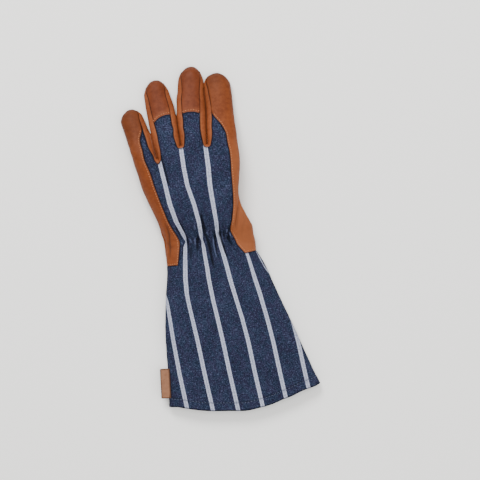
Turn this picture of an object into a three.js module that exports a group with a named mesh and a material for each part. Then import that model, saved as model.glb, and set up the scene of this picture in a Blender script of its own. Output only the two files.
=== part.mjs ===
// A rose pruning gauntlet for the left hand, lying on its palm with the thumb folded under it.
// Leather covers the palm, the thumb, the finger ends and the finger sides. Striped denim covers
// the back of the hand and makes the long flared cuff, and elastic gathers it at the wrist.
// Millimetres. +X is the thumb side, +Y points to the fingertips, +Z is up from the surface.

import * as THREE from "three";
import { mergeVertices } from "three/addons/utils/BufferGeometryUtils.js";

// Lengths and widths of the glove laid flat. The wrist elastic is the line that they start from.
const HAND_LENGTH = 191; // elastic to the tip of the middle finger
const CUFF_LENGTH = 184; // elastic to the hem, along the little finger's side
const CUFF_THUMB_LENGTH = 157; // the same along the thumb's side
const HEM_BOW = 18; // how far the hem's middle hangs below a straight line between its corners
const WRIST_WIDTH = 102;
const PALM_WIDTH = 115;
const MOUTH_WIDTH = 166; // across the open end of the cuff
const FINGER_WIDTH = 31;

// Heights.
const CUFF_THICKNESS = 20;
const HAND_THICKNESS = 21;
const FINGER_THICKNESS = 16;
const CUFF_ROUNDING = 26; // how far in from the edge the cuff's two sheets curve together
const HAND_ROUNDING = 14;
const THUMB_THICKNESS = 13;

// Walls and seams.
const LEATHER = 1.3;
const SIDE_LEATHER = 1.0; // the thinner strips between the fingers
const DENIM = 1.0;
const HEM_FOLD = 2; // layers of cloth in the turned hem
const SEAM_GAP = 0.3;
const PARTING = 0.3; // half the gap between two fingers that lie side by side
const SIDE_SHOWN = 6.5; // width of a finger's side strip on the back of the hand
const SIDE_SHOWN_UNDER = 4; // and on the palm
const LEAST_DENIM = 2.5; // narrowest denim beside the leather that wraps over a finger
const CROTCH_TURN = 4; // length over which two fingers' edges turn out of their crotch
const GATHER_DEPTH = 1.3; // half the height of the gathers at the elastic
const GATHERS = 9;

// The thumb.
const THUMB_WIDTH = 38;
const THUMB_REACH = 78; // from the front of the thumb hole to the tip

// Patches and the sewn-in tab.
const PATCH_LEATHER = 1.0;
const PAD_RIB = 1.6; // how far the pad's two ribs stand out
const TAB_WIDTH = 11;
const TAB_LENGTH = 33;
const TAB_THICKNESS = 2.2;
const TAB_CORNER = 1.2;
const TAB_OVERLAP = 3.2; // how far it reaches in over the cuff's edge
const TAB_LEAN = 16; // degrees

const clamp = (t) => Math.min(1, Math.max(0, t));
const lerp = (a, b, t) => a + (b - a) * t;
const ease = (t) => clamp(t) ** 2 * (3 - 2 * clamp(t));
const mix = (p, q, t) => ({ x: lerp(p.x, q.x, t), y: lerp(p.y, q.y, t) });
const along = (p, direction, d) => ({ x: p.x + direction.x * d, y: p.y + direction.y * d });
const apart = (p, q) => Math.hypot(q.x - p.x, q.y - p.y);
const towards = (p, q) => ({ x: (q.x - p.x) / apart(p, q), y: (q.y - p.y) / apart(p, q) });
const acrossOf = (d) => ({ x: d.y, y: -d.x });

// Rows of the cuff and hand, from the hem up to the knuckles.
// little, thumb: place on the two sides, as a share of the cuff's two lengths below the elastic
//   or of the hand's length above it.
// littleOut, thumbOut: 0 is the wrist's width, and 1 the mouth's or the palm's.
// littleWrap, thumbWrap: leather, or outer cloth on the cuff, in from each edge, shares of PALM_WIDTH.
// lift: height of the underside over the surface, in thumb thicknesses. thick: share of the zone's.
const CUFF = "cuff";
const HAND = "hand";
const BODY_ROWS = [
  { zone: CUFF, little: 1.0, thumb: 1.0, littleOut: 1.0, thumbOut: 1.0,
    littleWrap: 0.12, thumbWrap: 0.15, lift: 0.0, thick: 0.8 },
  { zone: CUFF, little: 0.945, thumb: 0.945, littleOut: 0.95, thumbOut: 0.94,
    littleWrap: 0.12, thumbWrap: 0.15, lift: 0.0, thick: 0.84 },
  { zone: CUFF, little: 0.8, thumb: 0.8, littleOut: 0.75, thumbOut: 0.79,
    littleWrap: 0.12, thumbWrap: 0.15, lift: 0.0, thick: 0.93 },
  { zone: CUFF, little: 0.62, thumb: 0.62, littleOut: 0.38, thumbOut: 0.61,
    littleWrap: 0.12, thumbWrap: 0.15, lift: 0.0, thick: 1.0 },
  { zone: CUFF, little: 0.45, thumb: 0.45, littleOut: 0.35, thumbOut: 0.43,
    littleWrap: 0.12, thumbWrap: 0.14, lift: 0.0, thick: 1.05 },
  { zone: CUFF, little: 0.3, thumb: 0.29, littleOut: 0.46, thumbOut: 0.27,
    littleWrap: 0.12, thumbWrap: 0.13, lift: 0.03, thick: 1.05 },
  { zone: CUFF, little: 0.22, thumb: 0.17, littleOut: 0.62, thumbOut: 0.15,
    littleWrap: 0.12, thumbWrap: 0.12, lift: 0.1, thick: 1.02 },
  { zone: CUFF, little: 0.165, thumb: 0.08, littleOut: 0.62, thumbOut: 0.02,
    littleWrap: 0.108, thumbWrap: 0.11, lift: 0.22, thick: 0.95 },
  { zone: CUFF, little: 0.05, thumb: 0.028, littleOut: 0.23, thumbOut: 0.01,
    littleWrap: 0.147, thumbWrap: 0.178, lift: 0.38, thick: 0.86 },
  { zone: HAND, little: 0.0, thumb: 0.0, littleOut: 0.0, thumbOut: 0.0,
    littleWrap: 0.15, thumbWrap: 0.192, lift: 0.52, thick: 0.8 },
  { zone: HAND, little: 0.052, thumb: 0.052, littleOut: 0.11, thumbOut: 0.13,
    littleWrap: 0.126, thumbWrap: 0.22, lift: 0.75, thick: 0.86 },
  { zone: HAND, little: 0.104, thumb: 0.104, littleOut: 0.22, thumbOut: 0.3,
    littleWrap: 0.106, thumbWrap: 0.178, lift: 1.0, thick: 0.94 },
  { zone: HAND, little: 0.207, thumb: 0.207, littleOut: 0.54, thumbOut: 0.95,
    littleWrap: 0.12, thumbWrap: 0.07, lift: 1.24, thick: 1.0 },
  { zone: HAND, little: 0.311, thumb: 0.311, littleOut: 0.83, thumbOut: 1.08,
    littleWrap: 0.13, thumbWrap: 0.06, lift: 1.32, thick: 1.0 },
  { zone: HAND, little: 0.415, thumb: 0.415, littleOut: 1.0, thumbOut: 1.0,
    littleWrap: 0.122, thumbWrap: 0.085, lift: 1.32, thick: 0.95 },
];
// Where each width starts and ends on the little finger's side, as a share of it.
const WRIST_SPLIT = 0.47;
const MOUTH_SPLIT = 0.246;
const PALM_SPLIT = 0.675;
const LEATHER_END_ROW = 7; // the row where the palm's leather ends and the cuff begins
const ELASTIC_ROW = 9;

// Crotches between the fingers and the outer ends of the crotch row: x in PALM_WIDTH, y in HAND_LENGTH.
// rise: how far the two stalls lie together, in HAND_LENGTH. lean: x moved over that rise, in PALM_WIDTH.
const LITTLE_CORNER = { x: -0.718, y: 0.484 };
const THUMB_CORNER = { x: 0.32, y: 0.5 };
const CROTCHES = [
  { x: -0.469, y: 0.478, rise: 0.156, lean: -0.079 },
  { x: -0.246, y: 0.545, rise: 0.193, lean: -0.046 },
  { x: 0.01, y: 0.553, rise: 0.329, lean: -0.024 },
];

// Fingers. x in PALM_WIDTH and y in HAND_LENGTH are the tip's place; width is in FINGER_WIDTH.
// bend: how far the finger's middle lies to the little finger's side of a straight line from root
//   to tip. tip: length of its rounded end. Both are shares of the finger's own width.
// capRow: the finger row where the denim stops under the leather end. That seam starts capShift of
//   the way to the next row, climbs by capTilt across the finger, and its middle by capBow more.
const FINGERS = [
  { name: "little", x: -0.748, y: 0.746, width: 0.83, bend: 0, tip: 0.5,
    capRow: 5, capShift: 0, capTilt: 0, capBow: 0 },
  { name: "ring", x: -0.507, y: 0.918, width: 1.0, bend: 0, tip: 0.6,
    capRow: 4, capShift: 0.16, capTilt: 0.4, capBow: 0.26 },
  { name: "middle", x: -0.152, y: 1.0, width: 1.01, bend: 0.05, tip: 0.64,
    capRow: 4, capShift: 0.06, capTilt: 0, capBow: 0.12 },
  { name: "index", x: 0.092, y: 0.963, width: 0.99, bend: 0, tip: 0.56,
    capRow: 4, capShift: 0, capTilt: 0, capBow: 0 },
];

// Rows of a finger from its crotch (at 0) to its tip (at 1), before the tip's round rows.
// side: width of the side strips, in SIDE_SHOWN. littleWrap, indexWrap: the outer leather on the
// little and index finger, in FINGER_WIDTH. lift and thick as above, in finger thicknesses.
const FINGER_ROWS = [
  { at: 0.0, side: 0.62, littleWrap: 0.46, indexWrap: 0.34, lift: 1.32, thick: 1.15 },
  { at: 0.1, side: 0.85, littleWrap: 0.46, indexWrap: 0.36, lift: 1.28, thick: 1.1 },
  { at: 0.2, side: 1.0, littleWrap: 0.46, indexWrap: 0.39, lift: 1.12, thick: 1.05 },
  { at: 0.31, side: 1.0, littleWrap: 0.48, indexWrap: 0.53, lift: 0.88, thick: 1.0 },
  { at: 0.42, side: 0.95, littleWrap: 0.53, indexWrap: 0.76, lift: 0.6, thick: 1.0 },
  { at: 0.56, side: 0.85, littleWrap: 0.67, indexWrap: 0.85, lift: 0.3, thick: 0.98 },
  { at: 0.68, side: 0.72, littleWrap: 0.7, indexWrap: 0.86, lift: 0.12, thick: 0.95 },
];
const TIP_TURNS = [0, 24, 48, 70]; // degrees round the fingertip's arc, one row each
const SIDE_END = 2; // the tip row, counted in TIP_TURNS, where the side strips run out
const SIDE_END_SHOWN = 0.1; // their width there, in SIDE_SHOWN
const TIP_THICK = 0.86;
const FREE_BAND = 0.16; // share of a finger over which its edge leaves its neighbour's

const CROTCH = BODY_ROWS.length; // index of the crotch row
const TIP_ROWS = FINGER_ROWS.length - 1 + TIP_TURNS.length;
const SIDE_ROWS = FINGER_ROWS.length - 1 + SIDE_END;
const LAST_TURN = THREE.MathUtils.degToRad(TIP_TURNS[TIP_TURNS.length - 1]);

// A body row's two ends and how far its middle hangs down.
function bodyRow(index) {
  const r = BODY_ROWS[index];
  const [split, width] = r.zone === CUFF ? [MOUTH_SPLIT, MOUTH_WIDTH] : [PALM_SPLIT, PALM_WIDTH];
  const littleX = lerp(-WRIST_SPLIT * WRIST_WIDTH, -split * width, r.littleOut);
  const thumbX = lerp((1 - WRIST_SPLIT) * WRIST_WIDTH, (1 - split) * width, r.thumbOut);
  const [littleY, thumbY] =
    r.zone === CUFF
      ? [-r.little * CUFF_LENGTH, -r.thumb * CUFF_THUMB_LENGTH]
      : [r.little * HAND_LENGTH, r.thumb * HAND_LENGTH];
  const bow = r.zone === CUFF ? HEM_BOW * r.little ** 1.5 : 0;
  return { left: { x: littleX, y: littleY }, right: { x: thumbX, y: thumbY }, bow };
}

const placed = (p) => ({ x: p.x * PALM_WIDTH, y: p.y * HAND_LENGTH });
const crotches = CROTCHES.map((c) => {
  const from = placed(c);
  const to = { x: from.x + c.lean * PALM_WIDTH, y: from.y + c.rise * HAND_LENGTH };
  return { ...from, direction: towards(from, to), length: apart(from, to) };
});

// A finger's outline: its two edges at each of its rows, and its share of the length there.
function fingerShape(finger, k) {
  const tip = placed(finger);
  const width = finger.width * FINGER_WIDTH;
  const half = width / 2;
  const crotchLeft = crotches[k - 1];
  const crotchRight = crotches[k];
  const rootLeft = crotchLeft ?? placed(LITTLE_CORNER);
  const rootRight = crotchRight ?? placed(THUMB_CORNER);
  const root = mix(rootLeft, rootRight, 0.5);
  const rowDirection = towards(rootLeft, rootRight);
  const axis = towards(root, tip);
  const side = acrossOf(axis);
  const length = apart(root, tip);
  const tipLength = finger.tip * width;
  const tipStart = 1 - tipLength / length;
  const shares = [
    ...FINGER_ROWS.slice(0, -1).map((r) => r.at * (tipStart / 0.8)),
    ...TIP_TURNS.map((a) => lerp(tipStart, 1, Math.sin(THREE.MathUtils.degToRad(a)))),
  ];
  const halfAt = (v) => {
    const turned = clamp((v - tipStart) / (1 - tipStart));
    return half * Math.sqrt(1 - turned ** 2);
  };
  const edge = (v, crotch, corner, sign) => {
    const bent = -finger.bend * width * 4 * v * (1 - v);
    const free = along(mix(root, tip, v), side, bent + sign * halfAt(v));
    if (!crotch) return mix(along(corner, axis, v * length), free, ease(v / 0.45));
    const parted = v * apart(crotch, tip);
    const start = along(crotch, rowDirection, -sign * PARTING);
    const line = acrossOf(crotch.direction);
    const besideLine = along(along(crotch, crotch.direction, parted), line, -sign * PARTING);
    const beside = mix(start, besideLine, clamp(parted / CROTCH_TURN));
    const leaves = crotch.length / apart(crotch, tip);
    return mix(beside, free, ease((v - leaves + FREE_BAND) / (2 * FREE_BAND)));
  };
  const rows = shares.map((v) => ({
    left: edge(v, crotchLeft, rootLeft, -1),
    right: edge(v, crotchRight, rootRight, 1),
  }));
  const bow = tipLength * (1 - Math.sin(LAST_TURN));
  return { ...finger, rows, shares, rowDirection, k, axis, bow };
}
const fingers = FINGERS.map(fingerShape);

// A point of a finger's row. The last row bows forward between its ends and closes the tip, so it
// lies on the outline, and out is the direction out of the finger there.
function onRow(finger, row, p) {
  if (row < TIP_ROWS - 1) return p;
  const { left, right } = finger.rows[row];
  const width = apart(left, right);
  const share = apart(left, p) / width;
  const bowed = along(p, finger.axis, 4 * share * (1 - share) * finger.bow);
  const slope = (4 * (2 * share - 1) * finger.bow) / width;
  const out = along(finger.axis, towards(left, right), slope);
  return { ...bowed, out: towards({ x: 0, y: 0 }, out) };
}
const TIP_SHARES = [0.2, 0.5, 0.8];
const tipArc = (finger) => {
  const { left, right } = finger.rows[TIP_ROWS - 1];
  return TIP_SHARES.map((share) => onRow(finger, TIP_ROWS - 1, mix(left, right, share)));
};

// The arc of a given radius round a crotch, from the finger on its left to the one on its right.
function crotchArc(k, radius, steps) {
  const from = Math.atan2(-fingers[k].rowDirection.y, -fingers[k].rowDirection.x);
  const to = Math.atan2(fingers[k + 1].rowDirection.y, fingers[k + 1].rowDirection.x);
  const start = from < 0 ? from + 2 * Math.PI : from;
  return Array.from({ length: steps + 1 }, (_, n) => {
    const angle = lerp(start, to + 2 * Math.PI, n / steps);
    const direction = { x: Math.cos(angle), y: Math.sin(angle) };
    return along(crotches[k], direction, radius);
  });
}

// The closed part of the glove's outline, from the hem's little-finger corner round the fingers
// to its thumb corner. The open mouth isn't part of it.
const ARC_STEPS = 4;
const outline = [
  ...BODY_ROWS.map((_, i) => bodyRow(i).left),
  ...fingers.flatMap((f) => [
    ...f.rows.map((r) => r.left),
    ...tipArc(f),
    ...f.rows.map((r) => r.right).reverse(),
    ...(crotches[f.k] ? crotchArc(f.k, PARTING, ARC_STEPS).slice(1, -1) : []),
  ]),
  ...BODY_ROWS.map((_, i) => bodyRow(i).right).reverse(),
];
const edges = outline.slice(0, -1).map((p, i) => {
  const q = outline[i + 1];
  const length = apart(p, q);
  const out = { x: -(q.y - p.y) / length, y: (q.x - p.x) / length };
  return { p, q, length, out };
});

// Distance from a point to the outline, and the direction outwards there.
function nearest(point) {
  let best = Infinity;
  let hits = [];
  for (const e of edges) {
    const t = clamp(
      ((point.x - e.p.x) * (e.q.x - e.p.x) + (point.y - e.p.y) * (e.q.y - e.p.y)) / e.length ** 2,
    );
    const foot = mix(e.p, e.q, t);
    const d = apart(point, foot);
    if (d < best - 1e-7) hits = [];
    if (d < best + 1e-7) hits.push({ e, foot });
    best = Math.min(best, d);
  }
  if (best > 1e-3) return { distance: best, out: towards(point, hits[0].foot) };
  const sum = hits.reduce((a, h) => ({ x: a.x + h.e.out.x, y: a.y + h.e.out.y }), { x: 0, y: 0 });
  return { distance: 0, out: towards({ x: 0, y: 0 }, sum) };
}

// Height table by row: body rows, then finger rows.
const UNDER_LIFT = THUMB_THICKNESS;
const TIP_LIFT = PATCH_LEATHER + SEAM_GAP; // the patches under the fingertips rest on the surface
const sections = [
  ...BODY_ROWS.map((r, i) => ({
    lift: r.lift * UNDER_LIFT,
    thick: r.thick * (r.zone === CUFF ? CUFF_THICKNESS : HAND_THICKNESS),
    rounding: lerp(CUFF_ROUNDING, HAND_ROUNDING, ease((i - LEATHER_END_ROW + 3) / 5)),
  })),
  ...FINGER_ROWS.slice(0, -1).map((r) => ({
    lift: r.lift * UNDER_LIFT,
    thick: r.thick * FINGER_THICKNESS,
    rounding: HAND_ROUNDING,
  })),
  ...TIP_TURNS.map((_, n) => ({
    lift: TIP_LIFT,
    thick: lerp(FINGER_ROWS.at(-1).thick, TIP_THICK, n / 3) * FINGER_THICKNESS,
    rounding: HAND_ROUNDING,
  })),
];
// The little finger's side hangs lower than the part that lies on the thumb.
const LOW_SIDE = 0.42;
const LOW_SIDE_BAND = 0.36;

function sectionAt(row, across) {
  const i = Math.min(sections.length - 2, Math.floor(row));
  const t = row - i;
  const read = (key) => lerp(sections[i][key], sections[i + 1][key], t);
  const raised = lerp(LOW_SIDE, 1, ease(across / LOW_SIDE_BAND));
  const lift = read("lift");
  const rests = Math.min(lift, TIP_LIFT);
  return { lift: lerp(rests, lift, raised), thick: read("thick"), rounding: read("rounding") };
}

// A point of the glove's skin: the upper or under sheet over a place in plan, with the direction
// out of the material. rise lifts the sheet there, as a gather does. A place that comes with its own
// direction out lies on the outline.
function skin({ x, y, row, across, upper, rise = 0, out: known }) {
  const { lift, thick, rounding } = sectionAt(row, across);
  const { distance, out } = known ? { distance: 0, out: known } : nearest({ x, y });
  const t = Math.min(1, distance / rounding);
  const f = Math.sqrt(1 - (1 - t) ** 2);
  const half = thick / 2;
  const sign = upper ? 1 : -1;
  const slope = (half / rounding) * (1 - t);
  return {
    point: new THREE.Vector3(x, y, lift + half + sign * half * f + rise),
    normal: new THREE.Vector3(out.x * slope, out.y * slope, sign * Math.max(f, 1e-6)).normalize(),
  };
}

// Makes a closed wall from a grid of skin points. exists(i, j) says which cells are there, and
// wall(i, j) how thick the wall is at a point. over lifts the whole sheet off the skin.
// A tube's grid repeats its first column as its last one, and comes to one point in its last row.
// Each free edge is drawn back by half a seam gap.
function thickSheet(grid, exists, wall, { over = 0, tube = false } = {}) {
  const columns = grid.length - 1;
  const rows = grid[0].length - 1;
  const wrapped = (i) => (tube ? (i + columns) % columns : i);
  const has = (i, j) => {
    const c = wrapped(i);
    if (tube && j === rows) return true;
    return c >= 0 && j >= 0 && c < columns && j < rows && exists(c, j);
  };
  const at = (i, j) => grid[i][j];
  const outer = grid.map((line) =>
    line.map((g) => g && g.point.clone().addScaledVector(g.normal, over)),
  );
  const pulls = new Map();
  const pull = (i, j, direction) => {
    const key = `${wrapped(i)},${j}`;
    pulls.set(key, [...(pulls.get(key) ?? []), direction]);
  };
  const freeEdges = [];
  for (let i = 0; i < columns; i++) {
    for (let j = 0; j < rows; j++) {
      if (!has(i, j)) continue;
      const corners = [[i, j], [i + 1, j], [i + 1, j + 1], [i, j + 1]];
      const centre = corners
        .reduce((a, [a0, b0]) => a.add(outer[a0][b0]), new THREE.Vector3())
        .multiplyScalar(0.25);
      const beyond = [[i, j - 1], [i + 1, j], [i, j + 1], [i - 1, j]];
      beyond.forEach(([ni, nj], n) => {
        if (has(ni, nj)) return;
        const [a, b] = [corners[n], corners[(n + 1) % 4]];
        freeEdges.push([a, b]);
        const [pa, pb] = [outer[a[0]][a[1]], outer[b[0]][b[1]]];
        const line = pb.clone().sub(pa).normalize();
        const inward = centre.clone().sub(pa);
        inward.addScaledVector(line, -inward.dot(line)).normalize();
        pull(...a, inward);
        pull(...b, inward);
      });
    }
  }
  for (const [key, [a, b]] of pulls) {
    const [i, j] = key.split(",").map(Number);
    const turn = Math.max(0.25, 1 + a.dot(b));
    outer[i][j].addScaledVector(a.clone().add(b), SEAM_GAP / 2 / turn);
  }
  const numbers = new Map();
  const positions = [];
  const number = (i, j, side) => {
    const key = tube && j === rows ? `end,${side}` : `${wrapped(i)},${j},${side}`;
    if (!numbers.has(key)) {
      const p = outer[wrapped(i)][j].clone();
      if (side) p.addScaledVector(at(i, j).normal, -wall(i, j));
      numbers.set(key, positions.length / 3);
      positions.push(p.x, p.y, p.z);
    }
    return numbers.get(key);
  };
  const index = [];
  const triangle = (a, b, c) => {
    if (a !== b && b !== c && c !== a) index.push(a, b, c);
  };
  const quad = (a, b, c, d) => {
    triangle(a, b, c);
    triangle(a, c, d);
  };
  for (let i = 0; i < columns; i++) {
    for (let j = 0; j < rows; j++) {
      if (!has(i, j)) continue;
      const corner = (side) => [
        number(i, j, side),
        number(i + 1, j, side),
        number(i + 1, j + 1, side),
        number(i, j + 1, side),
      ];
      quad(...corner(0));
      const [a, b, c, d] = corner(1);
      triangle(a, c, b);
      triangle(a, d, c);
    }
  }
  for (const [a, b] of freeEdges) {
    quad(number(...b, 0), number(...a, 0), number(...a, 1), number(...b, 1));
  }
  const geometry = new THREE.BufferGeometry();
  geometry.setAttribute("position", new THREE.Float32BufferAttribute(positions, 3));
  geometry.setIndex(index);
  return facingOut(geometry);
}

// Turns a closed geometry's faces outwards.
function facingOut(geometry) {
  const p = geometry.attributes.position;
  const index = geometry.index.array;
  const corner = (n) => new THREE.Vector3().fromBufferAttribute(p, index[n]);
  let volume = 0;
  for (let n = 0; n < index.length; n += 3) {
    volume += corner(n).dot(corner(n + 1).cross(corner(n + 2)));
  }
  if (volume < 0) {
    for (let n = 0; n < index.length; n += 3) [index[n], index[n + 1]] = [index[n + 1], index[n]];
  }
  return geometry;
}

// Width of the side strip at a finger row, above and below.
function sideAt(row, upper) {
  const full = upper ? SIDE_SHOWN : SIDE_SHOWN_UNDER;
  if (row < FINGER_ROWS.length - 1) return FINGER_ROWS[row].side * full;
  const t = (row - FINGER_ROWS.length + 1) / SIDE_END;
  return t > 1 ? 0 : lerp(FINGER_ROWS.at(-1).side, SIDE_END_SHOWN, t) * full;
}

// How much leather wraps over the outer edge of the little or the index finger at a row.
function wrapAt(finger, row) {
  const key = finger.name === "little" ? "littleWrap" : "indexWrap";
  const { left, right } = finger.rows[row];
  const most = apart(left, right) - sideAt(row, true);
  if (row > finger.capRow) return most;
  const read = FINGER_ROWS[row][key] * FINGER_WIDTH;
  return row === finger.capRow ? most - SEAM_GAP * 3 : Math.min(read, most - LEAST_DENIM);
}

// The two seams on a finger's row, as plan points.
function seams(finger, row, upper) {
  const { left, right } = finger.rows[row];
  const direction = towards(left, right);
  const isLittle = finger.name === "little";
  const isIndex = finger.name === "index";
  const side = sideAt(row, upper);
  const fromLeft = isLittle ? (upper ? wrapAt(finger, row) : 0) : side;
  const fromRight = isIndex ? (upper ? wrapAt(finger, row) : 0) : side;
  return { left: along(left, direction, fromLeft), right: along(right, direction, -fromRight) };
}

// A place on the back of a finger, between its two seams. The seam across it climbs and bows.
function backOfFinger(finger, row, share) {
  const s = seams(finger, row, true);
  const p = onRow(finger, row, mix(s.left, s.right, share));
  if (row !== finger.capRow) return { ...p, row: CROTCH + row };
  const next = seams(finger, row + 1, true);
  const t = finger.capShift + finger.capTilt * share + finger.capBow * 4 * share * (1 - share);
  return { ...mix(p, mix(next.left, next.right, share), t), row: CROTCH + row + t };
}

// A body row's point at a share of its width, with the hem's bow.
function bodyPoint(row, share) {
  const i = Math.min(BODY_ROWS.length - 1, Math.floor(row));
  const one = (n) => {
    const corners = { left: placed(LITTLE_CORNER), right: placed(THUMB_CORNER), bow: 0 };
    const r = n < BODY_ROWS.length ? bodyRow(n) : corners;
    const p = mix(r.left, r.right, share);
    return { x: p.x, y: p.y - 4 * r.bow * share * (1 - share) };
  };
  return mix(one(i), one(i + 1), row - i);
}
const bodyWidth = (row) => apart(bodyPoint(row, 0), bodyPoint(row, 1));

const ACROSS_FINGERS = [0.12, 0.34, 0.6, 0.86];
const acrossOfFinger = (finger) => ACROSS_FINGERS[finger.k];

// The columns of a sheet that runs over all four fingers. lanes: shares of each finger's width.
// Between two fingers lie ARC_STEPS columns that end at the crotch's arc.
function combColumns(lanes) {
  return lanes.flatMap((shares, k) => {
    const lane = shares.map((share) => ({ k, share }));
    const gap = Array.from({ length: ARC_STEPS - 1 }, (_, n) => ({ gap: k, step: n + 1 }));
    return k < 3 ? [...lane, ...gap] : lane;
  });
}

// A comb column's point on the crotch row.
function crotchRowPoint(column, upper) {
  if (column.gap !== undefined) {
    const radius = PARTING + sideAt(0, upper);
    return crotchArc(column.gap, radius, ARC_STEPS)[column.step];
  }
  const s = seams(fingers[column.k], 0, upper);
  return mix(s.left, s.right, column.share);
}

// How far across the hand, 0 to 1, a comb column lies at the crotch row.
function crotchShare(column) {
  if (column.k !== undefined) return acrossOfFinger(fingers[column.k]);
  return lerp(ACROSS_FINGERS[column.gap], ACROSS_FINGERS[column.gap + 1], column.step / ARC_STEPS);
}

// The grid of a comb sheet: body rows from firstRow, the crotch row, and the finger rows.
// from, to: share of the body's width where the comb starts and ends at a row.
function combGrid(columns, upper, firstRow, from, to, rise = () => 0) {
  const ends = [columns[0], columns.at(-1)].map((c) => crotchRowPoint(c, upper).x);
  return columns.map((column, i) => {
    const atCrotch = (crotchRowPoint(column, upper).x - ends[0]) / (ends[1] - ends[0]);
    const even = i / (columns.length - 1);
    const line = [];
    for (let row = firstRow; row < CROTCH; row++) {
      const settled = ease((row - ELASTIC_ROW) / (CROTCH - 1 - ELASTIC_ROW));
      const share = lerp(from(row), to(row), lerp(even, atCrotch, settled));
      line.push(skin({ ...bodyPoint(row, share), row, across: share, upper, rise: rise(row, even) }));
    }
    const across = crotchShare(column);
    line.push(skin({ ...crotchRowPoint(column, upper), row: CROTCH, across, upper }));
    for (let r = 1; r < TIP_ROWS; r++) {
      if (column.gap !== undefined) {
        line.push(null);
        continue;
      }
      const finger = fingers[column.k];
      const s = seams(finger, r, upper);
      const under = { ...onRow(finger, r, mix(s.left, s.right, column.share)), row: CROTCH + r };
      const place = upper ? backOfFinger(finger, r, column.share) : under;
      line.push(skin({ ...place, across, upper }));
    }
    return line;
  });
}

const inGap = (columns, i) => columns[i].gap !== undefined || columns[i + 1].gap !== undefined;
const even = (n) => Array.from({ length: n + 1 }, (_, i) => i / n);

const littleWrapShare = (row) => (BODY_ROWS[row].littleWrap * PALM_WIDTH) / bodyWidth(row);
const thumbWrapShare = (row) => 1 - (BODY_ROWS[row].thumbWrap * PALM_WIDTH) / bodyWidth(row);
const OUTER_SHARES = [0, 0.06, 0.22, 0.5];

// Gathers: waves across the back at the elastic, fading towards the hem and the knuckles.
function gather(row, share) {
  const up = ease(1 - (row - ELASTIC_ROW) / 2.6);
  const down = ease(1 - (ELASTIC_ROW - row) / 3.6);
  const window = row > ELASTIC_ROW ? up : down;
  const edgeFade = ease(share / 0.06) * ease((1 - share) / 0.06);
  return -GATHER_DEPTH * window * edgeFade * Math.cos(2 * Math.PI * GATHERS * share);
}

// The denim: the back of the hand and the upper half of the cuff, in one piece of cloth.
function denimBack() {
  const columns = combColumns([even(4), even(7), even(7), even(6)]);
  const comb = combGrid(columns, true, 0, littleWrapShare, thumbWrapShare, gather);
  const outerLine = (share, isLittle) => {
    const line = [];
    for (let row = 0; row < CROTCH + TIP_ROWS; row++) {
      if (row > LEATHER_END_ROW) {
        line.push(null);
        continue;
      }
      const inner = isLittle ? littleWrapShare(row) : thumbWrapShare(row);
      const at = isLittle ? inner * share : lerp(1, inner, share);
      line.push(skin({ ...bodyPoint(row, at), row, across: at, upper: true }));
    }
    return line;
  };
  const grid = [
    ...OUTER_SHARES.map((share) => outerLine(share, true)),
    ...comb,
    ...[...OUTER_SHARES].reverse().map((share) => outerLine(share, false)),
  ];
  const first = OUTER_SHARES.length;
  const exists = (i, j) => {
    const c = i - first;
    if (c < 0 || c >= columns.length - 1) return j < LEATHER_END_ROW;
    if (j < CROTCH) return true;
    if (inGap(columns, c)) return false;
    return j - CROTCH < fingers[columns[c].k].capRow;
  };
  return thickSheet(grid, exists, (_, j) => (j < 2 ? HEM_FOLD : 1) * DENIM);
}

// The cuff's under half.
function cuffUnder() {
  const shares = [0, 0.008, 0.03, 0.075, 0.15, 0.27, 0.42, 0.58, 0.73, 0.85, 0.925, 0.97, 0.992, 1];
  const grid = shares.map((share) =>
    Array.from({ length: LEATHER_END_ROW + 1 }, (_, row) =>
      skin({ ...bodyPoint(row, share), row, across: share, upper: false }),
    ),
  );
  return thickSheet(grid, () => true, (_, j) => (j < 2 ? HEM_FOLD : 1) * DENIM);
}

// The dent between the band along the thumb's side of the hand and the base of the thumb. At a
// row, share is its place in the leather that wraps over, from the edge (0) to the denim (1).
const VALLEY_DEPTH = 2.2;
const VALLEY_BAND = 0.34;
const VALLEY = [
  { row: 9.5, share: 1.1 },
  { row: 10, share: 1.0 },
  { row: 11, share: 0.6 },
  { row: 12, share: 0.2 },
  { row: 12.5, share: -0.2 },
];
function valley(row, share) {
  const n = VALLEY.findIndex((v) => v.row >= row);
  if (n < 1) return 0;
  const [a, b] = [VALLEY[n - 1], VALLEY[n]];
  const middle = lerp(a.share, b.share, (row - a.row) / (b.row - a.row));
  return -VALLEY_DEPTH * ease(1 - Math.abs(share - middle) / VALLEY_BAND) * Math.sqrt(share);
}

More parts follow.
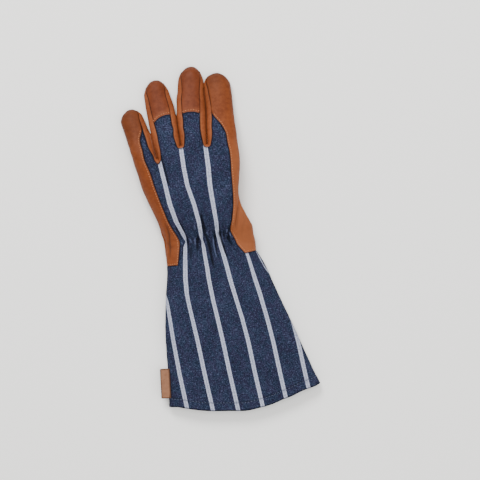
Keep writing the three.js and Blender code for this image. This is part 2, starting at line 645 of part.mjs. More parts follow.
// The palm's leather: the under side of the hand and fingers, wrapped up over the outer edges,
// where it also makes the ends of the little and index fingers.
const WRAP_SHARES = [1, 0.72, 0.46, 0.24, 0.08];
function palmLeather() {
  const outerLane = [0, 0.05, 0.16, 0.34, 0.6, 1];
  const lanes = [outerLane, even(5), even(5), outerLane.map((s) => 1 - s).reverse()];
  const columns = combColumns(lanes);
  const comb = combGrid(columns, false, LEATHER_END_ROW, () => 0, () => 1);
  const rows = CROTCH - LEATHER_END_ROW + TIP_ROWS;
  const wrapLine = (share, isLittle) =>
    Array.from({ length: rows }, (_, j) => {
      const row = j + LEATHER_END_ROW;
      if (row < CROTCH) {
        const inner = isLittle ? littleWrapShare(row) : thumbWrapShare(row);
        const at = isLittle ? inner * share : lerp(1, inner, share);
        const rise = isLittle ? 0 : valley(row, share);
        return skin({ ...bodyPoint(row, at), row, across: at, upper: true, rise });
      }
      const finger = fingers[isLittle ? 0 : 3];
      const s = seams(finger, row - CROTCH, true);
      const { left, right } = finger.rows[row - CROTCH];
      const flat = isLittle ? mix(left, s.left, share) : mix(right, s.right, share);
      const p = onRow(finger, row - CROTCH, flat);
      return skin({ ...p, row, across: acrossOfFinger(finger), upper: true });
    });
  const grid = [
    ...WRAP_SHARES.map((share) => wrapLine(share, true)),
    ...comb,
    ...[...WRAP_SHARES].reverse().map((share) => wrapLine(share, false)),
  ];
  const first = WRAP_SHARES.length;
  const exists = (i, j) => {
    const c = i - first;
    if (c < 0 || c >= columns.length - 1) return true;
    if (inThumbHole(c, j + LEATHER_END_ROW)) return false;
    return j < CROTCH - LEATHER_END_ROW || !inGap(columns, c);
  };
  return { geometry: thickSheet(grid, exists, () => LEATHER), comb };
}

// The hole in the palm's leather that the thumb is sewn round, in comb columns and body rows.
const THUMB_HOLE = { left: 20, right: 30, back: 9, front: 12 };
function inThumbHole(column, row) {
  const { left, right, back, front } = THUMB_HOLE;
  return column >= left && column < right && row >= back && row < front;
}

// The hole's edge points: along the front from right to left, then down the left side, along the
// back, and up the right side.
function thumbHoleEdge(comb) {
  const { left, right, back, front } = THUMB_HOLE;
  const at = (column, row) => comb[column][row - LEATHER_END_ROW].point.clone();
  const edge = [];
  for (let c = right; c > left; c--) edge.push(at(c, front));
  for (let r = front; r > back; r--) edge.push(at(left, r));
  for (let c = left; c < right; c++) edge.push(at(c, back));
  for (let r = back; r < front; r++) edge.push(at(right, r));
  return edge;
}

// The thumb, hollow and folded under the palm. at: place from its hole (0) to its tip (1) along
// its length. width and thick: shares of its full size. The first sections turn out of the hole.
const THUMB_ROWS = [
  { at: 0.0, width: 1.12, thick: 1.06 },
  { at: 0.16, width: 1.06, thick: 1.04 },
  { at: 0.34, width: 1.0, thick: 1.0 },
  { at: 0.52, width: 0.97, thick: 1.0 },
  { at: 0.68, width: 0.95, thick: 0.97 },
  { at: 0.8, width: 0.86, thick: 0.92 },
  { at: 0.89, width: 0.7, thick: 0.84 },
  { at: 0.96, width: 0.46, thick: 0.68 },
  { at: 1.0, width: 0.14, thick: 0.3 },
];
const THUMB_START = { x: 0.105, y: 0.2 };
const THUMB_END = { x: -0.26, y: 0.59 };
const THUMB_TURN_COUNT = 4; // rings between the hole and the first section
const THUMB_SQUARENESS = 0.62; // 1 would be an ellipse, and less is fuller
function thumb(comb) {
  const edge = thumbHoleEdge(comb);
  const count = edge.length;
  const start = placed(THUMB_START);
  const direction = towards(start, placed(THUMB_END));
  const side = acrossOf(direction);
  const full = (t) => Math.sign(t) * Math.abs(t) ** THUMB_SQUARENESS;
  const { left, right, back, front } = THUMB_HOLE;
  const corners = [0, right - left, right - left + front - back, 2 * (right - left) + front - back, count];
  const cornerAngles = [38, 142, 218, 322, 398];
  const angleOf = (n) => {
    const c = corners.findIndex((m) => m > n) - 1;
    const t = (n - corners[c]) / (corners[c + 1] - corners[c]);
    return THREE.MathUtils.degToRad(lerp(cornerAngles[c], cornerAngles[c + 1], t));
  };
  const section = (row, n) => {
    const angle = angleOf(n);
    const centre = along(start, direction, row.at * THUMB_REACH);
    const half = (row.thick * THUMB_THICKNESS) / 2;
    const p = along(centre, side, (full(Math.cos(angle)) * row.width * THUMB_WIDTH) / 2);
    return new THREE.Vector3(p.x, p.y, half * (1 + full(Math.sin(angle))));
  };
  const rings = [edge];
  for (let k = 1; k < THUMB_TURN_COUNT; k++) {
    const t = k / THUMB_TURN_COUNT;
    rings.push(
      edge.map((from, n) => {
        const to = section(THUMB_ROWS[0], n);
        const bend = new THREE.Vector3(lerp(from.x, to.x, 0.3), lerp(from.y, to.y, 0.3), to.z);
        return from
          .clone()
          .multiplyScalar((1 - t) ** 2)
          .addScaledVector(bend, 2 * t * (1 - t))
          .addScaledVector(to, t ** 2);
      }),
    );
  }
  for (const row of THUMB_ROWS) rings.push(edge.map((_, n) => section(row, n)));
  const tip = along(start, direction, THUMB_REACH * 1.004);
  const end = new THREE.Vector3(tip.x, tip.y, (THUMB_ROWS.at(-1).thick * THUMB_THICKNESS) / 2);
  rings.push(edge.map(() => end.clone()));
  const last = rings.length - 1;
  const grid = Array.from({ length: count + 1 }, (_, i) =>
    rings.map((ring, j) => {
      const point = ring[i % count];
      if (j === last) return { point, normal: new THREE.Vector3(direction.x, direction.y, 0) };
      const around = ring[(i + 1) % count].clone().sub(ring[(i + count - 1) % count]);
      const ahead = rings[j + 1][i % count].clone().sub(rings[Math.max(0, j - 1)][i % count]);
      return { point, normal: ahead.cross(around).normalize() };
    }),
  );
  return thickSheet(grid, () => true, () => LEATHER, { tube: true });
}

// The small tab sewn in the cuff's side seam, little finger's side, near the hem.
// It lies on the rounded edge and leans outwards and down.
const TAB_PLACE = 0.86; // its middle, as a share of CUFF_LENGTH
function sideTab() {
  const row = BODY_ROWS.findIndex((r) => r.little <= TAB_PLACE);
  const [below, above] = [BODY_ROWS[row - 1].little, BODY_ROWS[row].little];
  const at = row - 1 + (TAB_PLACE - below) / (above - below);
  const direction = towards(bodyPoint(row - 1, 0), bodyPoint(row, 0));
  const out = { x: -direction.y, y: direction.x };
  const across = TAB_OVERLAP / bodyWidth(row);
  const seat = skin({ ...bodyPoint(at, across), row: at, across, upper: true }).point;
  const w = TAB_WIDTH / 2 - TAB_CORNER;
  const l = TAB_LENGTH / 2 - TAB_CORNER;
  const shape = new THREE.Shape();
  shape.absarc(w, l, TAB_CORNER, 0, Math.PI / 2);
  shape.absarc(-w, l, TAB_CORNER, Math.PI / 2, Math.PI);
  shape.absarc(-w, -l, TAB_CORNER, Math.PI, 1.5 * Math.PI);
  shape.absarc(w, -l, TAB_CORNER, 1.5 * Math.PI, 2 * Math.PI);
  const geometry = new THREE.ExtrudeGeometry(shape, {
    depth: TAB_THICKNESS,
    bevelEnabled: false,
    curveSegments: 3,
  });
  geometry.translate(-TAB_WIDTH / 2, 0, 0);
  geometry.rotateY(-THREE.MathUtils.degToRad(TAB_LEAN));
  geometry.rotateZ(Math.atan2(out.y, out.x) - Math.PI);
  geometry.translate(seat.x, seat.y, seat.z + SEAM_GAP * 3);
  return mergeVertices(geometry);
}

// The leather end on the back of the ring or the middle finger.
function fingerCap(finger) {
  const shares = even(6);
  const grid = shares.map((share) => {
    const line = [];
    for (let r = finger.capRow; r < TIP_ROWS; r++) {
      const across = acrossOfFinger(finger);
      line.push(skin({ ...backOfFinger(finger, r, share), across, upper: true }));
    }
    return line;
  });
  return thickSheet(grid, () => true, () => LEATHER);
}

// The strip that makes the two facing sides of a pair of fingers and turns round their crotch.
function fingerSides(k) {
  const stations = [];
  const station = (edge, top, under, row, across) => stations.push({ edge, top, under, row, across });
  const [a, b] = [fingers[k], fingers[k + 1]];
  for (let r = SIDE_ROWS; r >= 0; r--) {
    const [top, under] = [seams(a, r, true).right, seams(a, r, false).right];
    station(a.rows[r].right, top, under, CROTCH + r, acrossOfFinger(a));
  }
  const arcs = [0, sideAt(0, true), sideAt(0, false)].map((side) => crotchArc(k, PARTING + side, ARC_STEPS));
  for (let n = 1; n < ARC_STEPS; n++) {
    const across = lerp(acrossOfFinger(a), acrossOfFinger(b), n / ARC_STEPS);
    station(arcs[0][n], arcs[1][n], arcs[2][n], CROTCH, across);
  }
  for (let r = 0; r <= SIDE_ROWS; r++) {
    const [top, under] = [seams(b, r, true).left, seams(b, r, false).left];
    station(b.rows[r].left, top, under, CROTCH + r, acrossOfFinger(b));
  }
  const above = [1, 0.5, 0.16, 0].map((share) => [share, true]);
  const below = [0.2, 0.6, 1].map((share) => [share, false]);
  const columns = [...above, ...below];
  const grid = columns.map(([share, upper]) =>
    stations.map(({ edge, top, under, row, across }) =>
      skin({ ...mix(edge, upper ? top : under, share), row, across, upper }),
    ),
  );
  return thickSheet(grid, () => true, () => SIDE_LEATHER);
}

// The second layer of leather sewn over the palm side of a fingertip.
const TIP_PATCH_ROW = FINGER_ROWS.length - 2;
function tipPatch(finger) {
  const shares = [0.1, 0.3, 0.5, 0.7, 0.9];
  const grid = shares.map((share) => {
    const line = [];
    for (let r = TIP_PATCH_ROW; r < TIP_ROWS - 1; r++) {
      const s = seams(finger, r, false);
      const across = acrossOfFinger(finger);
      line.push(skin({ ...mix(s.left, s.right, share), row: CROTCH + r, across, upper: false }));
    }
    return line;
  });
  return thickSheet(grid, () => true, () => PATCH_LEATHER, { over: PATCH_LEATHER + SEAM_GAP });
}

// The padded patch across the palm, with two ribs. row: place among the body's rows. from, to: its
// two ends, as shares of the body's width. rib: 1 on a rib's crest and 0 beside it.
const PAD_ROWS = [
  { row: 11.2, from: 0.2, to: 0.42, rib: 0 },
  { row: 11.7, from: 0.13, to: 0.45, rib: 0 },
  { row: 12.0, from: 0.12, to: 0.46, rib: 0 },
  { row: 12.2, from: 0.12, to: 0.47, rib: 1 },
  { row: 12.4, from: 0.12, to: 0.48, rib: 0 },
  { row: 12.6, from: 0.12, to: 0.5, rib: 0 },
  { row: 12.8, from: 0.12, to: 0.53, rib: 1 },
  { row: 13.0, from: 0.12, to: 0.57, rib: 0 },
  { row: 13.4, from: 0.12, to: 0.7, rib: 0 },
  { row: 13.8, from: 0.13, to: 0.8, rib: 0 },
  { row: 14.0, from: 0.17, to: 0.78, rib: 0 },
];
function palmPad() {
  const shares = even(10);
  const grid = shares.map((share) =>
    PAD_ROWS.map(({ row, from, to, rib }) => {
      const at = lerp(from, to, share);
      const ends = ease(share / 0.15) * ease((1 - share) / 0.15);
      const rise = -PAD_RIB * rib * ends;
      return skin({ ...bodyPoint(row, at), row, across: at, upper: false, rise });
    }),
  );
  return thickSheet(grid, () => true, () => PATCH_LEATHER, { over: PATCH_LEATHER + SEAM_GAP });
}

const leather = new THREE.MeshStandardMaterial({ color: 0x9c5833, roughness: 0.62, metalness: 0 });
const capLeather = new THREE.MeshStandardMaterial({ color: 0x914f2d, roughness: 0.62, metalness: 0 });
const tabLeather = new THREE.MeshStandardMaterial({ color: 0x9c7662, roughness: 0.7, metalness: 0 });
const denim = new THREE.MeshStandardMaterial({ color: 0x2b3654, roughness: 0.9, metalness: 0 });

const glove = new THREE.Group();
function piece(name, geometry, material) {
  const mesh = new THREE.Mesh(geometry, material);
  mesh.name = name;
  glove.add(mesh);
  return mesh;
}

piece("denim_back", denimBack(), denim);
piece("cuff_under", cuffUnder(), denim);
const palm = palmLeather();
piece("palm", palm.geometry, leather);
piece("cap_ring", fingerCap(fingers[1]), capLeather);
piece("cap_middle", fingerCap(fingers[2]), capLeather);
for (const k of [0, 1, 2]) {
  piece(`sides_${fingers[k].name}_${fingers[k + 1].name}`, fingerSides(k), leather);
}
for (const finger of fingers) piece(`tip_patch_${finger.name}`, tipPatch(finger), leather);
piece("thumb", thumb(palm.comb), leather);
piece("palm_pad", palmPad(), leather);
piece("tab", sideTab(), tabLeather);

// The origin goes to the middle of the glove's outline, on the surface that it lies on.
glove.updateMatrixWorld(true);
const extent = new THREE.Box3().setFromObject(glove);
const middle = extent.getCenter(new THREE.Vector3());
glove.position.set(-middle.x, -middle.y, -extent.min.z);
glove.updateMatrixWorld(true);

export default glove;
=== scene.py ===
# %% [markdown]
# A rose pruning gauntlet
#
# A left-hand gardening glove lies on its palm, with its thumb folded under it. This lesson dresses
# the glove's plain solids: it makes them finer, presses gathers, folds and creases into them,
# sews them with stitches, and gives them striped denim and grained leather.

# %% [markdown]
# The frame comes first. It holds the glove's solids at their true size, in metres, with +X to the
# thumb's side, +Y to the fingertips and +Z up. A glove modelled from nothing wouldn't fit them, so
# every piece starts from one of them.

# %% Load the frame
import math

import bmesh
import bpy
import numpy as np
from mathutils import Matrix, Vector, noise
from mathutils.bvhtree import BVHTree
from mathutils.kdtree import KDTree


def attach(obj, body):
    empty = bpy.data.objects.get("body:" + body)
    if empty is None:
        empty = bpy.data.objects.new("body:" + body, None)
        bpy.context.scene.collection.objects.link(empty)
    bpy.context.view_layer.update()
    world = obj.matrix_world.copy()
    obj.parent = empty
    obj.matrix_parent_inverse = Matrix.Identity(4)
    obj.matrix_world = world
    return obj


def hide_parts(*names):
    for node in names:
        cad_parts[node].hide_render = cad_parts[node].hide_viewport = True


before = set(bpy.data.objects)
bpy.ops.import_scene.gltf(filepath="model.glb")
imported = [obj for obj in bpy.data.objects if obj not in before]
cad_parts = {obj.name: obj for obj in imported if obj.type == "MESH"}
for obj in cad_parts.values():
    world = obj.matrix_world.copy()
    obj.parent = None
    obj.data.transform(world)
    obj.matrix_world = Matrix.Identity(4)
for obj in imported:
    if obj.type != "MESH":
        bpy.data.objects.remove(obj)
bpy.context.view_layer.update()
print("solids:", sorted(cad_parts))

# %% [markdown]
# The photograph was taken from straight above, so a place on it gives X and Y but no height.
# Places are read from it in its frame of 480 by 480 pixels, and two helpers turn them
# into metres and back.

# %% Places in the photograph
FRAME_PX = 480
METRES_PER_PIXEL = 0.00111
ORIGIN_PX = (219.97, 239.08)


def at(x, y):
    """A place in the photograph's frame, as plan metres."""
    return np.array([(x - ORIGIN_PX[0]), (ORIGIN_PX[1] - y)]) * METRES_PER_PIXEL


def pixels(points):
    """Plan points in metres, as x and y in the photograph's frame."""
    x = points[:, 0] / METRES_PER_PIXEL + ORIGIN_PX[0]
    y = ORIGIN_PX[1] - points[:, 1] / METRES_PER_PIXEL
    return x, y


print("the frame is", round(FRAME_PX * METRES_PER_PIXEL, 3), "m wide")

# %% [markdown]
# The camera looks straight down. Low down with a wide lens, it would make the glove's sides lean
# outward. So it hangs high, and its long lens follows from its height and the frame's width.

# %% Camera
CAMERA_HEIGHT = 3.0
SUBJECT_HEIGHT = 0.015
SENSOR = 36.0
FARTHEST = 20


def add_object(name, data):
    """An object with this data, put in the scene."""
    made = bpy.data.objects.new(name, data)
    bpy.context.scene.collection.objects.link(made)
    return made


middle = at(FRAME_PX / 2, FRAME_PX / 2)
camera_data = bpy.data.cameras.new("camera")
camera_data.sensor_width = SENSOR
camera_data.lens = SENSOR * (CAMERA_HEIGHT - SUBJECT_HEIGHT) / (FRAME_PX * METRES_PER_PIXEL)
camera_data.clip_end = FARTHEST
camera = add_object("camera", camera_data)
camera.location = (middle[0], middle[1], CAMERA_HEIGHT)
bpy.context.scene.camera = camera
print("lens:", round(camera_data.lens, 1), "mm")

# %% [markdown]
# The glove lies on a plain pale surface without an edge in view. A curved backdrop would do for a
# view from the side. For a view from above, one wide flat face is enough.

# %% Floor
FLOOR_SIZE = 8.0
FLOOR_COLOR = (0.93, 0.925, 0.905)
FLOOR_ROUGHNESS = 0.9


def mesh_from(bm, name):
    """A mesh with what was built in bm, which is then freed."""
    mesh = bpy.data.meshes.new(name)
    bm.to_mesh(mesh)
    bm.free()
    return mesh


def new_material(name):
    """A material with its node tree and its shader."""
    material = bpy.data.materials.new(name)
    material.use_nodes = True
    tree = material.node_tree
    return material, tree, tree.nodes["Principled BSDF"]


bm = bmesh.new()
bmesh.ops.create_grid(bm, x_segments=1, y_segments=1, size=FLOOR_SIZE / 2)
floor = add_object("floor", mesh_from(bm, "floor"))
paint, _, shader = new_material("floor")
shader.inputs["Base Color"].default_value = (*FLOOR_COLOR, 1)
shader.inputs["Roughness"].default_value = FLOOR_ROUGHNESS
floor.data.materials.append(paint)
print("floor:", FLOOR_SIZE, "m wide")

# %% [markdown]
# A studio's light is soft. One lamp overhead would flatten the cloth, so the main light stands
# beyond the fingertips: folds and seams get a lit and a shaded side, and the cuff's shadow falls
# towards the bottom of the picture. The other lights and a pale world open up the shadows.

# %% Lights
# Each row: the name, the place, the size and the power.
LIGHTS = [
    ("key", (-0.5, 1.3, 1.5), 0.9, 42),
    ("fill", (1.2, -0.6, 1.6), 1.4, 9),
    ("overhead", (0.1, 0.0, 2.4), 1.6, 30),
]
WORLD_COLOR = (1.0, 0.99, 0.97, 1)
WORLD_STRENGTH = 0.85


def area_light(name, place, size, power):
    """A round lamp that is turned to the middle of the glove."""
    data = bpy.data.lights.new(name, "AREA")
    data.shape = "DISK"
    data.size = size
    data.energy = power
    light = add_object(name, data)
    light.location = place
    aim = Vector((0, 0, 0)) - Vector(place)
    light.rotation_euler = aim.to_track_quat("-Z", "Y").to_euler()


for lamp in LIGHTS:
    area_light(*lamp)
world = bpy.data.worlds.new("studio")
bpy.context.scene.world = world
world.use_nodes = True
world.node_tree.nodes["Background"].inputs["Color"].default_value = WORLD_COLOR
world.node_tree.nodes["Background"].inputs["Strength"].default_value = WORLD_STRENGTH
print("lights:", len(bpy.data.lights))

# %% [markdown]
# Cloth and leather bend softly, but the solids are made of triangles. Smooth shading would leave
# their outline angular, so they are subdivided. For that their triangles are first joined back
# into four-sided faces.

# %% Four-sided faces
WELD = 2e-6
FLAT_ENOUGH = math.radians(40)
SQUARE_ENOUGH = math.radians(70)


def vertex_arrays(mesh):
    """The places and the normals of a mesh's vertices, as rows of three."""
    count = len(mesh.vertices)
    co = np.empty(count * 3)
    normal = np.empty(count * 3)
    mesh.vertices.foreach_get("co", co)
    mesh.vertex_normals.foreach_get("vector", normal)
    return co.reshape(-1, 3), normal.reshape(-1, 3)


def merged_quads(node):
    bm = bmesh.new()
    bm.from_mesh(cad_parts[node].data)
    bm.edges.layers.float.new("crease_edge")
    bmesh.ops.remove_doubles(bm, verts=bm.verts, dist=WELD)
    bmesh.ops.join_triangles(
        bm,
        faces=bm.faces,
        angle_face_threshold=FLAT_ENOUGH,
        angle_shape_threshold=SQUARE_ENOUGH,
    )
    bmesh.ops.recalc_face_normals(bm, faces=bm.faces)
    bm.faces.ensure_lookup_table()
    return bm


print("triangles:", sum(len(solid.data.polygons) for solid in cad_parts.values()))

# %% [markdown]
# A leather wall's outer side, inner side and cut edges each need a finish of their own. Faces
# picked by hand would be lost with each change of a size. So sharp edges part them into groups,
# and the script picks the outer one by its direction.

# %% The outer side
RIM_ANGLE = math.radians(48)
OUTER, INNER, CUT = 0, 1, 2
LARGE_SHARE = 0.6
FINGERS = ("little", "ring", "middle", "index")
UP, DOWN = Vector((0, 0, 1)), Vector((0, 0, -1))
FLAT_PIECES = {"palm_pad": DOWN, "tab": UP}
FLAT_PIECES.update({f"tip_patch_{finger}": DOWN for finger in FINGERS})


def outer_side(bm, sharp, facing):
    """The faces of the wall's outer side. Of the large groups of faces that no sharp edge parts,
    it is the one that is turned most to where the piece faces, or else away from its middle."""
    centre = sum((f.calc_center_median() for f in bm.faces), Vector()) / len(bm.faces)
    seen = set()
    groups = []
    for start in bm.faces:
        if start in seen:
            continue
        members = [start]
        seen.add(start)
        for face in members:
            for other in (o for e in face.edges if e not in sharp for o in e.link_faces):
                if other not in seen:
                    seen.add(other)
                    members.append(other)
        groups.append(members)

    def away(face):
        return facing or face.calc_center_median() - centre

    def area(members):
        return sum(f.calc_area() for f in members)

    def turned(members):
        return sum(f.calc_area() * f.normal.dot(away(f)) for f in members)

    largest = max(area(members) for members in groups)
    return set(max((g for g in groups if area(g) > LARGE_SHARE * largest), key=turned))


print("flat pieces:", sorted(FLAT_PIECES))

# %% [markdown]
# Subdivision rounds every edge, but cut leather stays crisp. Creased edges hold it without more
# faces. The coarse mesh is also pulled outward a few times, until the fine one passes through the
# solid's corners. The stiff tab needs no pull, and the wrist gets smaller faces for its gathers.

# %% Finer mesh
RIM_CREASE = 0.75
PULLS = 3
STIFF_PIECES = ("tab",)
# For a band of each piece: its two heights in the photograph, and the cuts in each edge there.
FINER_BAND = {"denim_back": (206, 270, 2), "palm": (190, 266, 1)}


def refined(piece, levels, pulls):
    """The piece's mesh subdivided, and pulled out again so that it passes through the solid's
    corners, which subdivision alone would round away."""
    modifier = piece.modifiers.new("finer", "SUBSURF")
    modifier.levels = levels
    modifier.render_levels = levels
    coarse = piece.data
    wanted, _ = vertex_arrays(coarse)
    for pull in range(pulls + 1):
        graph = bpy.context.evaluated_depsgraph_get()
        fine = bpy.data.meshes.new_from_object(piece.evaluated_get(graph))
        if pull == pulls:
            return fine
        now, _ = vertex_arrays(coarse)
        reached, _ = vertex_arrays(fine)
        coarse.vertices.foreach_set("co", (now + wanted - reached[: len(wanted)]).ravel())
        coarse.update()
        bpy.data.meshes.remove(fine)


def finer_band(mesh, low, high, cuts):
    """Cuts the outer side's faces smaller between two heights in the photograph's frame."""
    bm = bmesh.new()
    bm.from_mesh(mesh)
    ends = sorted(at(0, y)[1] for y in (low, high))
    edges = [
        e
        for e in bm.edges
        if all(f.material_index == OUTER for f in e.link_faces)
        and all(ends[0] < v.co.y < ends[1] for v in e.verts)
    ]
    bmesh.ops.subdivide_edges(bm, edges=edges, cuts=cuts, use_grid_fill=True)
    bm.to_mesh(mesh)
    bm.free()


print("bands of smaller faces:", FINER_BAND)

# %% [markdown]
# Each solid gets a sewn piece that replaces it in the picture and rides on its body. One joined
# skin would hide that a real glove is sewn from parts. The outer rim is kept as a list of edges,
# because seams follow it.

# %% A piece for each solid
USUAL_LEVELS = 2
LEVELS = {"cuff_under": 3, "tab": 3}
LEVELS.update({f"sides_{pair}": 3 for pair in ("little_ring", "ring_middle", "middle_index")})


def rim_edges(bm, outer):
    """The outer side's rim: the two ends of each edge, and the way inward from it."""
    found = []
    for edge in bm.edges:
        sides = {face in outer: face for face in edge.link_faces}
        if len(sides) == 2:
            a, b = (v.co.copy() for v in edge.verts)
            inward = sides[True].calc_center_median() - (a + b) / 2
            line = (b - a).normalized()
            found.append((a, b, (inward - line * inward.dot(line)).normalized()))
    return found


def sew_ready(node, name, levels):
    """The piece that replaces a solid, and its rim."""
    bm = merged_quads(node)
    sharp = {e for e in bm.edges if len(e.link_faces) == 2 and e.calc_face_angle(0) > RIM_ANGLE}
    outer = outer_side(bm, sharp, FLAT_PIECES.get(node))
    for face in bm.faces:
        beside = any(other in outer for edge in face.edges for other in edge.link_faces)
        face.material_index = OUTER if face in outer else CUT if beside else INNER
    rim = rim_edges(bm, outer)
    crease = bm.edges.layers.float["crease_edge"]
    stiff = node in STIFF_PIECES
    for edge in sharp:
        edge[crease] = 1.0 if stiff else RIM_CREASE
    mesh = mesh_from(bm, name)
    for slot in (OUTER, INNER, CUT):
        mesh.materials.append(None)
    piece = add_object(name, mesh)
    piece.data = refined(piece, levels, 0 if stiff else PULLS)
    piece.modifiers.clear()
    bpy.data.meshes.remove(mesh)
    piece.data.name = name
    if node in FINER_BAND:
        finer_band(piece.data, *FINER_BAND[node])
    piece.data.shade_smooth()
    print(name, "faces", len(piece.data.polygons), "rim edges", len(rim))
    return piece, rim


sewn = {}
rims = {}
for node in sorted(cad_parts):
    sewn[node], rims[node] = sew_ready(node, f"{node}_sewn", LEVELS.get(node, USUAL_LEVELS))
    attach(sewn[node], "root")
    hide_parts(node)

# %% [markdown]
# The elastic wrist draws the denim into narrow gathers with small ridges between, and soft folds
# run on into the cuff. A cloth simulation wouldn't put them at the photograph's places. So each
# is a line of places read from it, with a depth and a half width in millimetres.

# %% Lines of the folds
# Each row: the fold's line, its depth (a ridge's is below 0) and its half width.
GATHERS = [
    ([(176.9, 216.7), (187.3, 237.5), (188.8, 247), (189.2, 258)], 1.3, 1.2),
    ([(174, 224), (178, 231), (183.4, 242.2)], 1.1, 1.1),
    ([(180.3, 244), (183, 250), (183, 258)], 0.8, 1),
    ([(191.8, 243), (191.5, 254), (191, 262)], 0.7, 1.2),
    ([(197.7, 231), (197.9, 242), (198.3, 254)], 1, 1.2),
    ([(200.3, 210), (202.9, 223), (204.8, 232.5), (208.1, 242.7)], 1.4, 1.3),
    ([(205, 234), (209.2, 246), (212.4, 260), (215, 270)], 1.4, 1.5),
    ([(207, 233), (209, 243), (212, 254)], 0.8, 2.2),
    ([(213.7, 227), (215.2, 239.2), (217, 252), (220, 262)], 1.1, 1.1),
    ([(219.9, 224), (219.5, 232.7), (222, 241), (228.5, 261)], 1.3, 1.2),
    ([(223.7, 230), (225, 239)], 1, 1),
    ([(229.5, 225), (228, 234), (229.5, 241)], 1.1, 1.1),
    ([(226.3, 236), (229.5, 241), (233, 247)], 0.8, 1),
    ([(233, 208), (231.5, 222), (229.5, 230)], 0.8, 1.2),
]
RIDGES = [
    ([(189.3, 238), (192.4, 243.5)], -0.8, 0.9),
    ([(181.2, 241.8), (183.2, 244.6)], -0.8, 0.9),
    ([(195, 236.5), (195.5, 246)], -0.7, 0.9),
    ([(206, 231.3), (209.4, 236.5)], -0.9, 0.8),
    ([(208.1, 237.3), (211.1, 240.3)], -0.8, 0.8),
    ([(212.8, 235), (213.7, 242.7), (215, 251.4), (217.4, 259)], -0.8, 0.9),
    ([(205, 235.2), (206.6, 246)], -0.7, 0.8),
    ([(220.9, 232), (222.8, 239.2), (225, 245)], -0.8, 0.8),
    ([(228.4, 228.6), (226.1, 233.6)], -0.9, 0.8),
    ([(229.6, 231.7), (231, 237)], -0.8, 0.8),
    ([(194.3, 224), (195.7, 230.5)], -0.6, 0.9),
]
LEATHER_CREASES = [
    ([(163, 240), (171, 247), (179, 249)], 0.6, 1.6),
    ([(165, 221), (169.2, 235), (170, 262)], 1, 1.4),
    ([(239.2, 199), (238.3, 210), (237, 220), (235.2, 232)], 1.7, 1.3),
    ([(247, 214), (243, 226), (241, 240)], 0.6, 2.2),
    ([(140, 190), (148, 196)], 0.5, 1.8),
]
SOFT_FOLDS = [
    ([(187, 262), (188, 300), (193, 345)], 0.9, 5),
    ([(214, 258), (222, 290), (236, 350)], 1.5, 6),
    ([(240, 254), (257, 300), (282, 352)], 1.3, 6),
    ([(200, 262), (206, 300), (212, 330)], 0.7, 4),
    ([(161, 228), (164, 243), (165, 258)], 1.5, 3.8),
]
print("folds:", len(GATHERS + RIDGES + LEATHER_CREASES + SOFT_FOLDS))

# %% Height of the folds at a place
FOLD_ENDS = 0.3
FADE_POWER = 0.7


def fold_amount(x, y, folds):
    """How far the folds lift the surface, in millimetres, at places in the photograph's frame.
    A fold fades out towards both of its ends."""
    total = np.zeros(len(x))
    for places, depth, half_width in folds:
        line = np.array(places, float)
        lengths = np.linalg.norm(np.diff(line, axis=0), axis=1)
        starts = np.concatenate([[0], np.cumsum(lengths)])
        best = np.full(len(x), np.inf)
        place = np.zeros(len(x))
        for n, length in enumerate(lengths):
            ax, ay = line[n]
            dx, dy = (line[n + 1] - line[n]) / length
            t = np.clip((x - ax) * dx + (y - ay) * dy, 0, length)
            d = np.hypot(x - ax - t * dx, y - ay - t * dy)
            nearer = d < best
            best = np.where(nearer, d, best)
            place = np.where(nearer, starts[n] + t, place)
        share = place / starts[-1]
        fade = np.clip(np.minimum(share, 1 - share) / FOLD_ENDS, 0, 1) ** FADE_POWER
        width = half_width / (METRES_PER_PIXEL * 1000)
        total -= depth * fade * np.exp(-((best / width) ** 2))
    return total


probe = [np.array([value]) for value in (209.2, 246)]
print("height in a gather:", np.round(fold_amount(*probe, GATHERS), 2), "mm")

# %% [markdown]
# Used cloth and leather are never quite flat. Bump would show that in the shading alone, so low
# waves of noise move the surface itself. Each vertex follows the nearest one of the outer side,
# so a wall keeps its thickness.

# %% Waves, walls and distances
RIM_STEP = 0.0004
NO_RIM = 99.0
NEAR_DENIM = 0.0035
DENIM = ("denim_back", "cuff_under")
# The waves' size in metres and their height in millimetres.
WAVES = {"denim": (0.017, 0.5), "leather": (0.011, 0.24), "tab": (0.011, 0.0)}
SEED_STEPS = (7.31, 3.17, 1.73)


def soft_noise(points, size, seed):
    """Smooth noise from -1 to 1, with lumps of about the given size in metres."""
    offset = Vector([seed * step for step in SEED_STEPS])
    return np.array([noise.noise(Vector(p) / size + offset) for p in points])


def outer_vertices(mesh):
    """Indices of the vertices that only touch the outer side's faces."""
    slots = np.empty(len(mesh.polygons), int)
    mesh.polygons.foreach_get("material_index", slots)
    outer = np.zeros(len(mesh.vertices), bool)
    other = np.zeros(len(mesh.vertices), bool)
    for polygon, slot in zip(mesh.polygons, slots):
        (outer if slot == OUTER else other)[list(polygon.vertices)] = True
    return np.flatnonzero(outer & ~other)


def point_tree(points):
    """A tree that finds the nearest of these points."""
    tree = KDTree(len(points))
    for index, point in enumerate(points):
        tree.insert(point, index)
    tree.balance()
    return tree


def face_tree(mesh, co):
    """A tree that finds the nearest place on a mesh's faces, or where a ray meets them."""
    return BVHTree.FromPolygons([Vector(v) for v in co], [tuple(p.vertices) for p in mesh.polygons])


def nearest_outer(mesh, co):
    """For each vertex, the nearest vertex of the outer side."""
    outer = outer_vertices(mesh)
    tree = point_tree(co[outer])
    return np.array([outer[tree.find(p)[1]] for p in co])


def set_attribute(mesh, name, values):
    layer = mesh.attributes.new(name, "FLOAT", "POINT")
    layer.data.foreach_set("value", np.asarray(values, np.float32))


